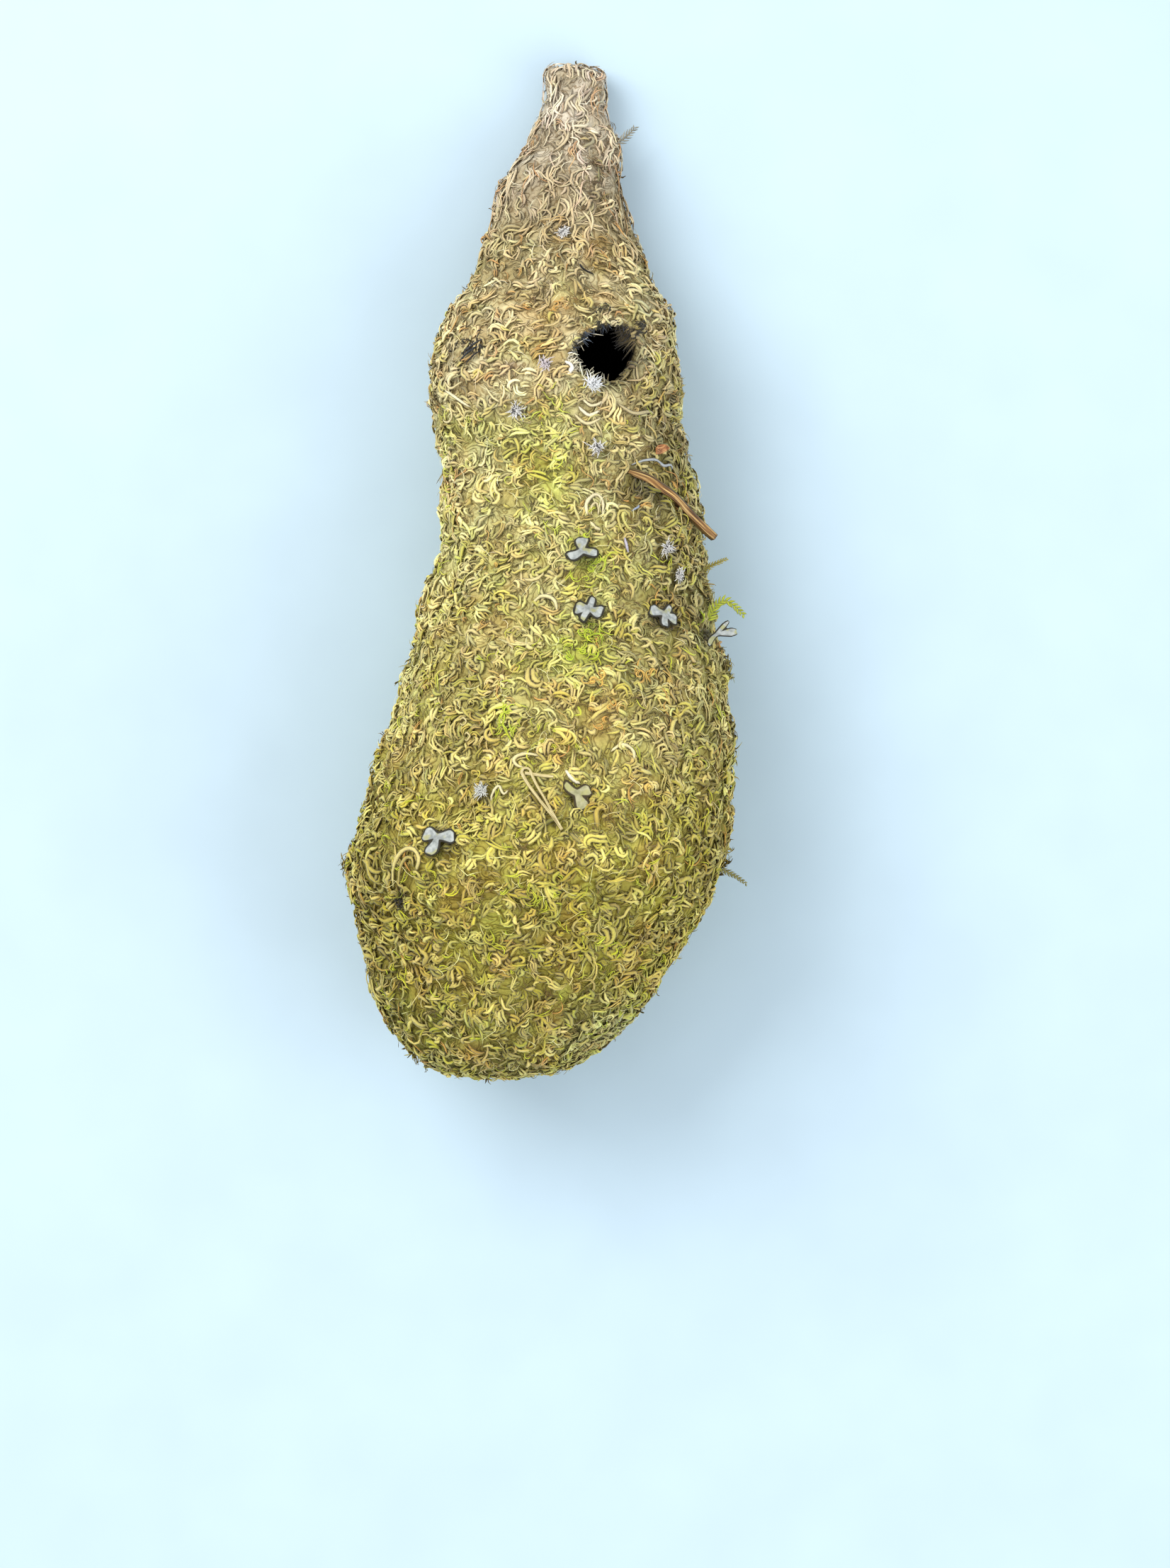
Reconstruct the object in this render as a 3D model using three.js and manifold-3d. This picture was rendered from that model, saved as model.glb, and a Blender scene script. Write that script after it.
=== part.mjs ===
// Bushtit nest: a hanging pouch of moss, lichen curls, spider silk and plant down, felted in one piece,
// with the few larger things that are stuck in its front. It lies on its back on a flat surface.
// Millimetres. X runs across the nest, Y along it towards the neck, and Z is up, so the front faces up.
// The origin is the middle of the footprint, on the surface that the nest lies on.

import * as THREE from 'three';
import { ImprovedNoise } from 'three/addons/math/ImprovedNoise.js';
import { mergeVertices } from 'three/addons/utils/BufferGeometryUtils.js';
import Module from 'manifold-3d';

const wasm = await Module();
wasm.setup();

// Driving dimensions. Places are given by x, across the nest, and up, the way up from its round base.
const LENGTH = 306;          // round base to the torn end of the neck
const MIDDLE_X = 2.4;        // middle of the whole width, tips of the moss sprigs included
const MIDDLE_UP = 153.6;     // middle of the whole length, ragged end included
const DEPTH_SHARE = 0.88;    // depth from front to back, as a share of the width
const PRESSED = 2.5;         // how far the back of the body is pressed flat where it lies
const WALL = 11;             // felt between the outside and the chamber
const FIT = 0.3;             // gap round each thing that is pressed into the felt

// Edges of the nest seen from the front: [up, left edge, right edge], from the neck to the base.
const OUTLINE = [
  [LENGTH, 10.5, 10.5],
  [304, 1.2, 19.8],
  [292, 0.3, 21.4],
  [281, -3.5, 25.8],
  [271, -10.8, 26.4],
  [257, -14.0, 28.8],
  [244, -18.6, 33.6],
  [231, -25.2, 39.5],
  [218, -31.2, 42.8],
  [205, -33.4, 44.1],
  [191, -28.8, 45.6],
  [176, -28.7, 48.6],
  [160, -29.8, 49.6],
  [145, -32.6, 52.6],
  [129, -37.0, 56.2],
  [113, -42.0, 58.6],
  [97, -46.6, 59.0],
  [81, -51.2, 58.0],
  [65, -57.6, 56.0],
  [50, -54.4, 50.8],
  [36, -51.0, 42.0],
  [23, -47.2, 32.6],
  [11.5, -41.2, 22.0],
  [3, -30.0, 7.0],
  [0, -12.0, -12.0],
];

// Felt surface
const RINGS = 58;
const SIDES = 40;
const LUMP_SIZE = 17;        // distance from one broad lump of moss to the next
const LUMP_HEIGHT = 3.0;
const TUFT_SIZE = 9.5;       // distance from one small tuft to the next
const TUFT_HEIGHT = 2.6;
const LUMPY_REACH = 12;      // sections smaller than this have smaller lumps
const RAGGED_NECK = 3.0;     // how unevenly the neck is torn off
const RAGGED_LENGTH = 8;     // how much of the neck's end is ragged
const RAGGED_SIZE = 4;       // distance from one rag to the next

// Chamber
const CHAMBER_FLOOR = 14;
const CHAMBER_TOP = 233;
const CHAMBER_ROUND = 26;    // how far from its ends the chamber rounds in
const CHAMBER_SIDES = 20;

// Entrance: its place, its outline round that place, and the funnel at its lower right
const ENTRANCE = { x: 19.2, up: 215.3 };
const ENTRANCE_OUTLINE = [
  [-8.2, -1.0], [-5.4, 3.0], [-0.8, 6.8], [4.0, 7.4], [8.4, 6.4],
  [7.6, 1.4], [5.4, -3.4], [1.6, -6.6], [-3.2, -5.4], [-7.2, -3.6],
];
const ENTRANCE_SIDES = 18;
const ENTRANCE_RADIUS = 7;
const ENTRANCE_INNER = 25;   // depth of the hole below the surface, well into the chamber
const ENTRANCE_OUTER = 8;    // height of the cut above the surface
const FUNNEL_DEPTH = 9;
const FUNNEL_REACH = 7;
const FUNNEL_TURN = -0.6;    // direction of the funnel round the hole, in radians from +X

// Hood: the thick lip over the entrance, as [x, up, height of its middle off the felt]
const HOOD = [
  [-10.6, -3.0, -2.8], [-9.8, 1.2, -0.6], [-7.2, 5.4, 0.4],
  [-2.6, 8.4, 0.7], [2.8, 9.4, 0.3], [7.6, 9.2, -1.0], [11.4, 7.8, -2.8],
];
const HOOD_RADIUS = 2.6;

// Tufts of plant down and silk that stand out of the felt, as [x, up, radius]
const DOWN_TUFTS = [
  [17.9, 187.5, 3.0], [38.2, 158.3, 2.8], [41.2, 150.4, 2.4], [-5.7, 199.1, 3.0],
  [16.8, 205.2, 2.8], [2.7, 211.9, 2.6], [8.2, 252.0, 2.4], [-14.7, 86.5, 3.2],
];
const DOWN_TUFT_HEIGHT = 1.5;
const TUFT_SIDES = 8;

// Lichen flakes: place, and each lobe as [x, up] from the middle of the flake to the lobe's tip
const FLAKE_THICKNESS = 1.8;
const FLAKE_HEART = 1.3;     // radius of the middle that the lobes grow from
const FLAKE_SIDES = 22;
const FLAKE_BED = 2.5;       // how far round its middle a flake follows the facets
const LOBE_SPREAD = 0.6;     // half the angle that one lobe takes, in radians
const FLAKES = {
  lichen_flake_upper: { x: 13.4, up: 156.2, lobes: [[-0.6, 4.4], [4.6, -0.3], [-3.8, -2.8]] },
  lichen_flake_middle: { x: 15.1, up: 139.0, lobes: [[-4.0, 1.0], [-2.9, -3.3], [2.0, 3.9], [3.9, -1.6]] },
  lichen_flake_right: { x: 37.0, up: 137.3, lobes: [[-4.4, 1.8], [3.4, 3.0], [4.2, -0.9], [-0.6, -4.3]] },
  lichen_flake_lower: { x: 11.8, up: 85.3, lobes: [[-4.0, 2.1], [4.0, 1.6], [2.1, -4.6]] },
  lichen_flake_left: { x: -27.5, up: 72.7, lobes: [[-4.5, 2.0], [5.4, 0.6], [-2.0, -5.3]] },
  lichen_flake_edge: {
    x: 52.6, up: 132.6, lobes: [[4.0, 3.8], [6.8, 1.2], [-3.0, -2.6]], facing: [0.42, 0.1, 0.9],
  },
};

// Strands that are pressed in, as [x, up] along each one, with how far its middle stands off the felt
const STRAND_SIDES = 8;
const TWIG = {
  radius: 1.2,
  route: [
    [27.3, 180.8], [33.0, 178.7], [37.0, 176.0], [41.0, 173.3], [44.9, 169.3], [48.9, 165.5], [52.9, 161.9],
  ],
  off: [-0.4, 0.1, 0.3, 0.5, 3.0, null, null],
  droop: 0.55,               // fall in height for each millimetre along its free end
  bore: 0.55,
  boreDepth: 4.5,
};
const STALK = {
  radius: 0.75,
  route: [[-3.6, 92.4], [-0.6, 87.8], [2.4, 83.2], [5.0, 79.2], [7.6, 75.2]],
  off: [0.5, 0.2, 0.2, 0.2, -0.1],
  bore: 0.35,
  boreDepth: 2.5,
};
const STALK_ARM = {
  radius: 0.5,
  route: [[-3.0, 91.6], [1.2, 91.0], [5.3, 90.5]],
  off: [0.4, 0.3, 0.0],
};

// Moss sprigs that stand out from the edge, as [x, up] from root to tip
const SPRIG_ROOT = 3;        // length of the root that is held in the felt
const SPRIG_SIDES = 6;
const SPRIGS = {
  moss_sprig_upper: { radius: 0.9, route: [[50.0, 152.2], [52.4, 153.6], [54.6, 154.6], [56.6, 155.4]] },
  moss_sprig_fern: {
    radius: 1.0, route: [[51.6, 138.0], [53.2, 141.0], [55.8, 142.8], [58.8, 141.2], [61.4, 138.6]],
  },
  moss_sprig_lower: { radius: 0.9, route: [[55.6, 62.8], [58.0, 61.6], [60.2, 60.4], [62.2, 58.8]] },
  moss_sprig_neck: { radius: 0.9, route: [[24.8, 281.6], [26.6, 283.0], [28.2, 284.4], [29.4, 285.8]] },
};

// Bark chip, with how far round its middle it follows the facets
const CHIP = { x: 35.7, up: 187.3, length: 5.4, width: 2.4, thickness: 1.2, turn: 0.35, bed: 2 };

// Colours and finishes
const FINISHES = {
  felt: { color: 0xb5a86a, roughness: 0.95, metalness: 0 },
  lichen: { color: 0x8f9088, roughness: 0.9, metalness: 0 },
  twig: { color: 0x9a6a35, roughness: 0.8, metalness: 0 },
  straw: { color: 0xcdbf86, roughness: 0.75, metalness: 0 },
  bark: { color: 0x7c4326, roughness: 0.85, metalness: 0 },
  moss: { color: 0x9ba53a, roughness: 0.9, metalness: 0 },
};

const noise = new ImprovedNoise();
const outline = new THREE.CatmullRomCurve3(
  OUTLINE.map(([up, left, right]) => new THREE.Vector3(left, right, up)),
);

// Position along the outline, 0 at the neck and 1 at the base, where it is this far up
function outlineAt(up) {
  let above = 0;
  let below = 1;
  for (let step = 0; step < 30; step += 1) {
    const half = (above + below) / 2;
    if (outline.getPoint(half).z > up) above = half;
    else below = half;
  }
  return above;
}

// Section across the nest: its middle and its half sizes. The rounded ends keep the height of the body,
// and a section narrower than the body is pressed flat in proportion.
const BASE_SECTION_UP = 44;
const NECK_SECTION_UP = 300;
const BODY_REACH = 40;

function section(t) {
  const { x: left, y: right, z: up } = outline.getPoint(t);
  const heldUp = THREE.MathUtils.clamp(up, BASE_SECTION_UP, NECK_SECTION_UP);
  const held = outline.getPoint(outlineAt(heldUp));
  const heldReach = (held.y - held.x) / 2;
  const pressed = PRESSED * Math.min(1, heldReach / BODY_REACH);
  return {
    up,
    middle: (left + right) / 2,
    reach: (right - left) / 2,
    depth: ((right - left) / 2) * DEPTH_SHARE,
    height: heldReach * DEPTH_SHARE - pressed,
  };
}

// Height of the felt's lumps at a point. The shifts only choose which part of the noise is used.
function lumps(x, y, z) {
  const broad = noise.noise(x / LUMP_SIZE + 3.7, y / LUMP_SIZE + 9.1, z / LUMP_SIZE + 1.3);
  const small = noise.noise(x / TUFT_SIZE + 5.2, y / TUFT_SIZE + 2.6, z / TUFT_SIZE + 7.9);
  return LUMP_HEIGHT * broad + TUFT_HEIGHT * small;
}

// Library calls that turn a closed geometry into a solid and back
function toSolid(geometry) {
  const bare = geometry.clone();
  bare.deleteAttribute('normal');
  bare.deleteAttribute('uv');
  const merged = mergeVertices(bare, 1e-4);
  return new wasm.Manifold(new wasm.Mesh({
    numProp: 3,
    vertProperties: new Float32Array(merged.attributes.position.array),
    triVerts: new Uint32Array(merged.index.array),
  }));
}

function toGeometry(solid) {
  const mesh = solid.getMesh();
  const geometry = new THREE.BufferGeometry();
  geometry.setAttribute('position', new THREE.BufferAttribute(mesh.vertProperties, mesh.numProp));
  geometry.setIndex(new THREE.BufferAttribute(mesh.triVerts, 1));
  geometry.computeVertexNormals();
  return geometry;
}

// Moves every vertex of a geometry by a function of its place
function reshape(geometry, move) {
  const position = geometry.attributes.position;
  const point = new THREE.Vector3();
  for (let i = 0; i < position.count; i += 1) {
    point.fromBufferAttribute(position, i);
    move(point);
    position.setXYZ(i, point.x, point.y, point.z);
  }
  return geometry;
}

// Outside of the pouch: a sphere whose rings follow the outline, with lumps, pressed flat at the back
function pouchSkin() {
  return reshape(new THREE.SphereGeometry(1, SIDES, RINGS), (point) => {
    const t = Math.acos(THREE.MathUtils.clamp(point.y, -1, 1)) / Math.PI;
    const turn = Math.atan2(point.z, point.x);
    const { up, middle, reach, depth, height } = section(t);
    const onSkin = new THREE.Vector3(Math.cos(turn) * reach, 0, Math.sin(turn) * depth);
    const size = onSkin.length();
    const lump = size > 0.01 ? lumps(middle + onSkin.x, up, height + onSkin.z) : 0;
    onSkin.setLength(size + lump * Math.min(1, size / LUMPY_REACH));
    const torn = Math.max(0, 1 - (LENGTH - up) / RAGGED_LENGTH);
    const ragged = RAGGED_NECK * torn * noise.noise(onSkin.x / RAGGED_SIZE, 0.5, onSkin.z / RAGGED_SIZE);
    point.set(middle + onSkin.x, up + ragged, Math.max(0, height + onSkin.z));
  });
}

// Chamber inside: the same form set in by the wall, with rounded ends
function chamber() {
  const middleUp = (CHAMBER_FLOOR + CHAMBER_TOP) / 2;
  const halfLength = (CHAMBER_TOP - CHAMBER_FLOOR) / 2;
  return reshape(new THREE.SphereGeometry(1, CHAMBER_SIDES, CHAMBER_SIDES), (point) => {
    const up = middleUp + halfLength * point.y;
    const toEnd = Math.min(up - CHAMBER_FLOOR, CHAMBER_TOP - up, CHAMBER_ROUND);
    const share = 1 - toEnd / CHAMBER_ROUND;
    const round = Math.sqrt(Math.max(0, 1 - share * share));
    const turn = Math.atan2(point.z, point.x);
    const { middle, reach, depth, height } = section(outlineAt(up));
    const x = middle + Math.cos(turn) * Math.max(0, reach - WALL) * round;
    const z = height + PRESSED / 2 + Math.sin(turn) * Math.max(0, depth - WALL) * round;
    point.set(x, up, z);
  });
}

// Entrance: a straight hole through the front wall whose lower right side flares into a funnel
function entrance(surfaceHeight) {
  const points = ENTRANCE_OUTLINE.map(([x, up]) => new THREE.Vector3(x, up, 0));
  const round = new THREE.CatmullRomCurve3(points, true).getPoints(ENTRANCE_SIDES).slice(0, -1);
  const shape = new THREE.Shape(round.map((point) => new THREE.Vector2(point.x, point.y)));
  const inner = surfaceHeight - ENTRANCE_INNER;
  const depth = ENTRANCE_INNER + ENTRANCE_OUTER;
  const hole = new THREE.ExtrudeGeometry(shape, { depth, steps: 6, bevelEnabled: false });
  const flareX = Math.cos(FUNNEL_TURN);
  const flareUp = Math.sin(FUNNEL_TURN);
  return reshape(hole, (point) => {
    const z = inner + point.z;
    const open = Math.max(0, 1 + (z - surfaceHeight) / FUNNEL_DEPTH);
    const facing = Math.max(0, (point.x * flareX + point.y * flareUp) / ENTRANCE_RADIUS);
    const flare = FUNNEL_REACH * open * open * facing;
    point.set(ENTRANCE.x + point.x + flareX * flare, ENTRANCE.up + point.y + flareUp * flare, z);
  });
}

// Low round tuft on the surface
function tuft(place, radius, height) {
  const ball = new THREE.SphereGeometry(1, TUFT_SIDES, TUFT_SIDES - 2).scale(radius, height, radius);
  const turn = new THREE.Quaternion().setFromUnitVectors(new THREE.Vector3(0, 1, 0), place.normal);
  return ball.applyQuaternion(turn).translate(place.point.x, place.point.y, place.point.z);
}

// Straight drop from above on to a surface: the point that it meets and the way that the surface faces.
// A drop that passes outside the right edge is tried again a little further in.
const EDGE_STEP = 0.5;

function landing(surface, x, up) {
  const from = new THREE.Vector3(x, up, LENGTH);
  const hits = new THREE.Raycaster(from, new THREE.Vector3(0, 0, -1)).intersectObject(surface);
  if (hits.length === 0) return landing(surface, x - EDGE_STEP, up);
  return { point: hits[0].point, normal: hits[0].face.normal.clone() };
}

// Landing for a piece a few millimetres across: it lies across the facets round its middle
function bedding(surface, x, up, reach) {
  const around = [[0, 0], [reach, 0], [-reach, 0], [0, reach], [0, -reach]];
  const places = around.map(([dx, dUp]) => landing(surface, x + dx, up + dUp));
  const normal = new THREE.Vector3();
  places.forEach((place) => normal.add(place.normal));
  return { point: places[0].point, normal: normal.normalize() };
}

// Route of a strand over the surface. A null offset continues the strand straight on past the edge.
function strandRoute(surface, { route, off, droop = 0 }) {
  const points = [];
  route.forEach(([x, up], index) => {
    if (off[index] === null) {
      const last = points[points.length - 1];
      const run = Math.hypot(x - last.x, up - last.y);
      points.push(new THREE.Vector3(x, up, last.z - droop * run));
      return;
    }
    const { point } = landing(surface, x, up);
    points.push(new THREE.Vector3(x, up, point.z + off[index]));
  });
  return points;
}

// Round strand along points
function strand(points, radius, sides = STRAND_SIDES) {
  const ring = [];
  for (let side = 0; side < sides; side += 1) {
    const turn = (side / sides) * Math.PI * 2;
    ring.push(new THREE.Vector2(Math.cos(turn) * radius, Math.sin(turn) * radius));
  }
  const path = new THREE.CatmullRomCurve3(points);
  const steps = (points.length - 1) * 2;
  return new THREE.ExtrudeGeometry(new THREE.Shape(ring), { steps, extrudePath: path });
}

// Hole in the end of a strand, from its first point towards its second. It starts as far outside the end
// as it reaches in.
function strandBore(end, next, radius, depth) {
  const along = next.clone().sub(end).normalize();
  const turn = new THREE.Quaternion().setFromUnitVectors(new THREE.Vector3(0, 1, 0), along);
  const middle = end.clone();
  const bore = new THREE.CylinderGeometry(radius, radius, depth * 2, STRAND_SIDES).applyQuaternion(turn);
  return bore.translate(middle.x, middle.y, middle.z);
}

// Lobed flake, flat on the surface and sunk by half its thickness; grow widens it for its pocket
function flake(place, lobes, grow) {
  const tips = lobes.map(([x, y]) => ({ turn: Math.atan2(y, x), length: Math.hypot(x, y) }));
  const rim = [];
  for (let i = 0; i < FLAKE_SIDES; i += 1) {
    const turn = (i / FLAKE_SIDES) * Math.PI * 2;
    let radius = FLAKE_HEART;
    tips.forEach((tip) => {
      const away = Math.atan2(Math.sin(turn - tip.turn), Math.cos(turn - tip.turn)) / LOBE_SPREAD;
      radius = Math.max(radius, tip.length * Math.sqrt(Math.max(0, 1 - away * away)));
    });
    rim.push(new THREE.Vector2(Math.cos(turn) * (radius + grow), Math.sin(turn) * (radius + grow)));
  }
  const depth = FLAKE_THICKNESS + grow * 2;
  const plate = new THREE.ExtrudeGeometry(new THREE.Shape(rim), { depth, bevelEnabled: false });
  const turn = new THREE.Quaternion().setFromUnitVectors(new THREE.Vector3(0, 0, 1), place.normal);
  plate.translate(0, 0, -depth / 2).applyQuaternion(turn);
  return plate.translate(place.point.x, place.point.y, place.point.z);
}

// Bark chip: a thin slip with slanted ends, sunk by half its thickness
function chip(place, grow) {
  const half = CHIP.length / 2 + grow;
  const side = CHIP.width / 2 + grow;
  const corners = [[-half, -side * 0.5], [half * 0.8, -side], [half, side * 0.4], [-half * 0.7, side]];
  const shape = new THREE.Shape(corners.map(([x, y]) => new THREE.Vector2(x, y)));
  const depth = CHIP.thickness + grow * 2;
  const slip = new THREE.ExtrudeGeometry(shape, { depth, bevelEnabled: false });
  const turn = new THREE.Quaternion().setFromUnitVectors(new THREE.Vector3(0, 0, 1), place.normal);
  slip.translate(0, 0, -depth / 2).rotateZ(CHIP.turn).applyQuaternion(turn);
  return slip.translate(place.point.x, place.point.y, place.point.z);
}

// Sprig at the edge: level from where its root meets the felt, with the root reaching inwards
function sprigRoute(surface, route) {
  const [rootX, rootUp] = route[0];
  const { point } = landing(surface, rootX, rootUp);
  const inwards = new THREE.Vector3(rootX - SPRIG_ROOT, rootUp - 1, point.z);
  return [inwards, ...route.map(([x, up]) => new THREE.Vector3(x, up, point.z))];
}

// Pouch with its chamber, entrance, hood and down tufts
const skinMesh = new THREE.Mesh(toGeometry(toSolid(pouchSkin())));
const hood = strand(
  HOOD.map(([x, up, off]) => {
    const { point } = landing(skinMesh, ENTRANCE.x + x, ENTRANCE.up + up);
    return point.setZ(point.z + off);
  }),
  HOOD_RADIUS,
);
const downTufts = DOWN_TUFTS.map(([x, up, radius]) => tuft(
  landing(skinMesh, x, up),
  radius,
  DOWN_TUFT_HEIGHT,
));
let pouch = toSolid(pouchSkin());
[hood, ...downTufts].forEach((geometry) => {
  pouch = pouch.add(toSolid(geometry));
});
const entranceHeight = landing(skinMesh, ENTRANCE.x, ENTRANCE.up).point.z;
pouch = pouch.subtract(toSolid(chamber()));
pouch = pouch.subtract(toSolid(entrance(entranceHeight)));

// Everything that is pressed in sits in a pocket of its own form, a little wider
const pieces = [];
function pressIn(name, finish, solid, pocket) {
  pouch = pouch.subtract(pocket);
  pieces.push({ name, finish, solid });
}

const twigPoints = strandRoute(skinMesh, TWIG);
const twigEnd = twigPoints.slice().reverse();
const twigBore = strandBore(twigEnd[0], twigEnd[1], TWIG.bore, TWIG.boreDepth);
pressIn(
  'twig',
  'twig',
  toSolid(strand(twigPoints, TWIG.radius)).subtract(toSolid(twigBore)),
  toSolid(strand(twigPoints, TWIG.radius + FIT)),
);

const stalkPoints = strandRoute(skinMesh, STALK);
const armPoints = strandRoute(skinMesh, STALK_ARM);
const stalkBore = strandBore(stalkPoints[0], stalkPoints[1], STALK.bore, STALK.boreDepth);
pressIn(
  'grass_stalk',
  'straw',
  toSolid(strand(stalkPoints, STALK.radius))
    .add(toSolid(strand(armPoints, STALK_ARM.radius)))
    .subtract(toSolid(stalkBore)),
  toSolid(strand(stalkPoints, STALK.radius + FIT))
    .add(toSolid(strand(armPoints, STALK_ARM.radius + FIT))),
);

Object.entries(FLAKES).forEach(([name, { x, up, lobes, facing }]) => {
  const place = bedding(skinMesh, x, up, FLAKE_BED);
  if (facing) place.normal.set(...facing).normalize();
  pressIn(name, 'lichen', toSolid(flake(place, lobes, 0)), toSolid(flake(place, lobes, FIT)));
});

Object.entries(SPRIGS).forEach(([name, { radius, route }]) => {
  const points = sprigRoute(skinMesh, route);
  const sprig = strand(points, radius, SPRIG_SIDES);
  const pocket = strand(points, radius + FIT, SPRIG_SIDES);
  pressIn(name, 'moss', toSolid(sprig), toSolid(pocket));
});

const chipPlace = bedding(skinMesh, CHIP.x, CHIP.up, CHIP.bed);
pressIn('bark_chip', 'bark', toSolid(chip(chipPlace, 0)), toSolid(chip(chipPlace, FIT)));

// The nest, moved so that the middle of its footprint is the origin
const nest = new THREE.Group();
nest.position.set(-MIDDLE_X, -MIDDLE_UP, 0);

function place(name, finish, solid) {
  const mesh = new THREE.Mesh(toGeometry(solid), new THREE.MeshStandardMaterial(FINISHES[finish]));
  mesh.name = name;
  nest.add(mesh);
}

place('pouch', 'felt', pouch);
pieces.forEach(({ name, finish, solid }) => place(name, finish, solid));

export default nest;
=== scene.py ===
"""Bushtit nest lying on its back: the looks of its felt, curls, flakes, tufts, sprigs and stems.

Sizes and places are in millimetres until they reach a mesh. A place on the nest is given by x, across it,
and up, the way up from its round base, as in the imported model.
"""

import logging
import math
from dataclasses import dataclass, field
from enum import Enum
from typing import Sequence

import bpy
import numpy as np
from mathutils import Matrix, Vector
from mathutils.bvhtree import BVHTree


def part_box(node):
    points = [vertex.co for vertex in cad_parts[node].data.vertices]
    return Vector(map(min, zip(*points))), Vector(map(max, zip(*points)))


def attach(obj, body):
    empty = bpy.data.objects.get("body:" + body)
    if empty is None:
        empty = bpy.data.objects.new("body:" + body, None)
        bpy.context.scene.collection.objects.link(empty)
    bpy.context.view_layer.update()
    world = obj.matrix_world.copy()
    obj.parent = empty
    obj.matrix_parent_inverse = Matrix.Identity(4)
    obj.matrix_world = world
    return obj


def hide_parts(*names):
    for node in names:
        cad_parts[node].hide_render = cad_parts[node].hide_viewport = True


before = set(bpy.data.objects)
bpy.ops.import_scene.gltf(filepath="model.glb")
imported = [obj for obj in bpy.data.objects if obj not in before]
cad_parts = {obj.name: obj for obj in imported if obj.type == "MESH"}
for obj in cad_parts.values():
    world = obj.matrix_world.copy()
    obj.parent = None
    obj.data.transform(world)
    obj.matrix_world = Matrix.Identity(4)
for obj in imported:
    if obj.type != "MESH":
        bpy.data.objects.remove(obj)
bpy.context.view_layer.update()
BODY = "root"

LOG = logging.getLogger("nest")

Array = np.ndarray
Piece = bpy.types.Object
Material = bpy.types.Material
Node = bpy.types.Node
Socket = bpy.types.NodeSocket
Inputs = dict[str | int, object]
Pair = tuple[float, float]
Triple = tuple[float, float, float]

# Places and units. Levels are in metres.
MM = 0.001
MIDDLE_X = 2.4
MIDDLE_UP = 153.6
FLOOR_GAP = 0.1
ABOVE_ALL = 0.3
FRONT_LEVEL = 0.03
ENTRANCE_LEVEL = 0.04

# Entrance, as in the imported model
ENTRANCE_X = 19.2
ENTRANCE_UP = 215.3
ENTRANCE_RADIUS = 7.0


def place(x: float, up: float, z: float = 0.0) -> Vector:
    """Place in the frame, in metres, of a place on the nest in millimetres."""
    return Vector(((x - MIDDLE_X) * MM, (up - MIDDLE_UP) * MM, z * MM))


def on_nest(points: Array) -> tuple[Array, Array]:
    """The x and up, in millimetres on the nest, of places in the frame."""
    return points[..., 0] / MM + MIDDLE_X, points[..., 1] / MM + MIDDLE_UP


def linear(tone: str) -> Array:
    """Linear red, green and blue of an sRGB tone in six hex digits."""
    steps = np.array([int(tone[i : i + 2], 16) / 255 for i in (0, 2, 4)])
    return np.where(steps <= 0.04045, steps / 12.92, ((steps + 0.055) / 1.055) ** 2.4)


def unit(vectors: Array) -> Array:
    """Vectors of length 1 in the same directions."""
    return vectors / np.maximum(np.linalg.norm(vectors, axis=-1, keepdims=True), 1e-12)


def smooth_step(low: float, high: float, values: Array) -> Array:
    """Soft step from 0 at low to 1 at high."""
    share = np.clip((values - low) / (high - low), 0, 1)
    return share * share * (3 - 2 * share)


def fade(start: Array, end: Array, share: Array) -> Array:
    """Colours on the way from start to end, by a share for each place."""
    return start + (end - start) * share[..., None]


BLOTCH_WAVES = 7


def blotches(points: Array, size: float, seed: int) -> Array:
    """Smooth random field over the nest.

    Args:
        points: places in the frame.
        size: distance from one blotch to the next, in millimetres.
        seed: chooses the field.

    Returns:
        A value for each place, about 0 on average.
    """
    rng = np.random.default_rng(seed)
    total = np.zeros(len(points))
    for _ in range(BLOTCH_WAVES):
        direction = unit(rng.normal(size=3)) * rng.uniform(0.6, 1.4)
        phase = rng.uniform(0, 2 * math.pi)
        total += np.cos(2 * math.pi * points @ direction / (size * MM * 2) + phase)
    return total / math.sqrt(BLOTCH_WAVES / 2)


# Tones of the felt from the neck to the base: how far up, and the tone there. The darker bands at 250 and
# 262 are painted shade across the neck.
FELT_BANDS = (
    (306, "d8ccb6"), (280, "d2c4a8"), (262, "b2a280"), (250, "b6a678"), (232, "d2c492"), (205, "dacd98"),
    (165, "d5cc88"), (120, "d0c67c"), (70, "b9ae52"), (30, "a59b46"), (5, "9f9850"),
)

# Levels up the nest, as start and end of a soft step
MOTTLES_END = (228, 255)
BODY_START = (60, 120)
BODY_END = (190, 222)
BASE_END = (60, 110)
FRONT_STEP = (0.02, 0.05)

# Painted shade: a darker tone where the felt turns to the right, and near the base to the left
RIGHT_TURN = (0.15, 0.8)
LEFT_TURN = (0.35, 0.95)
SHADED_SIDE_TONE = "7a7040"
SHADED_SIDE_SHARE = 0.32
LOW_SIDE_SHADE_SHARE = 0.35


@dataclass(frozen=True)
class Wash:
    """A soft patch of another tone on the front: its middle, half its width and height, and its share."""

    x: float
    up: float
    wide: float
    high: float
    tone: str
    share: float


# Washes of the plants' own tones, and dark washes of painted shade to the right of the entrance (x 33),
# down the right side (x 40 to 51) and at the lower left (x -49), with painted shadow under the twig (x 29)
# and at x -22, up 108.
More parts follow.
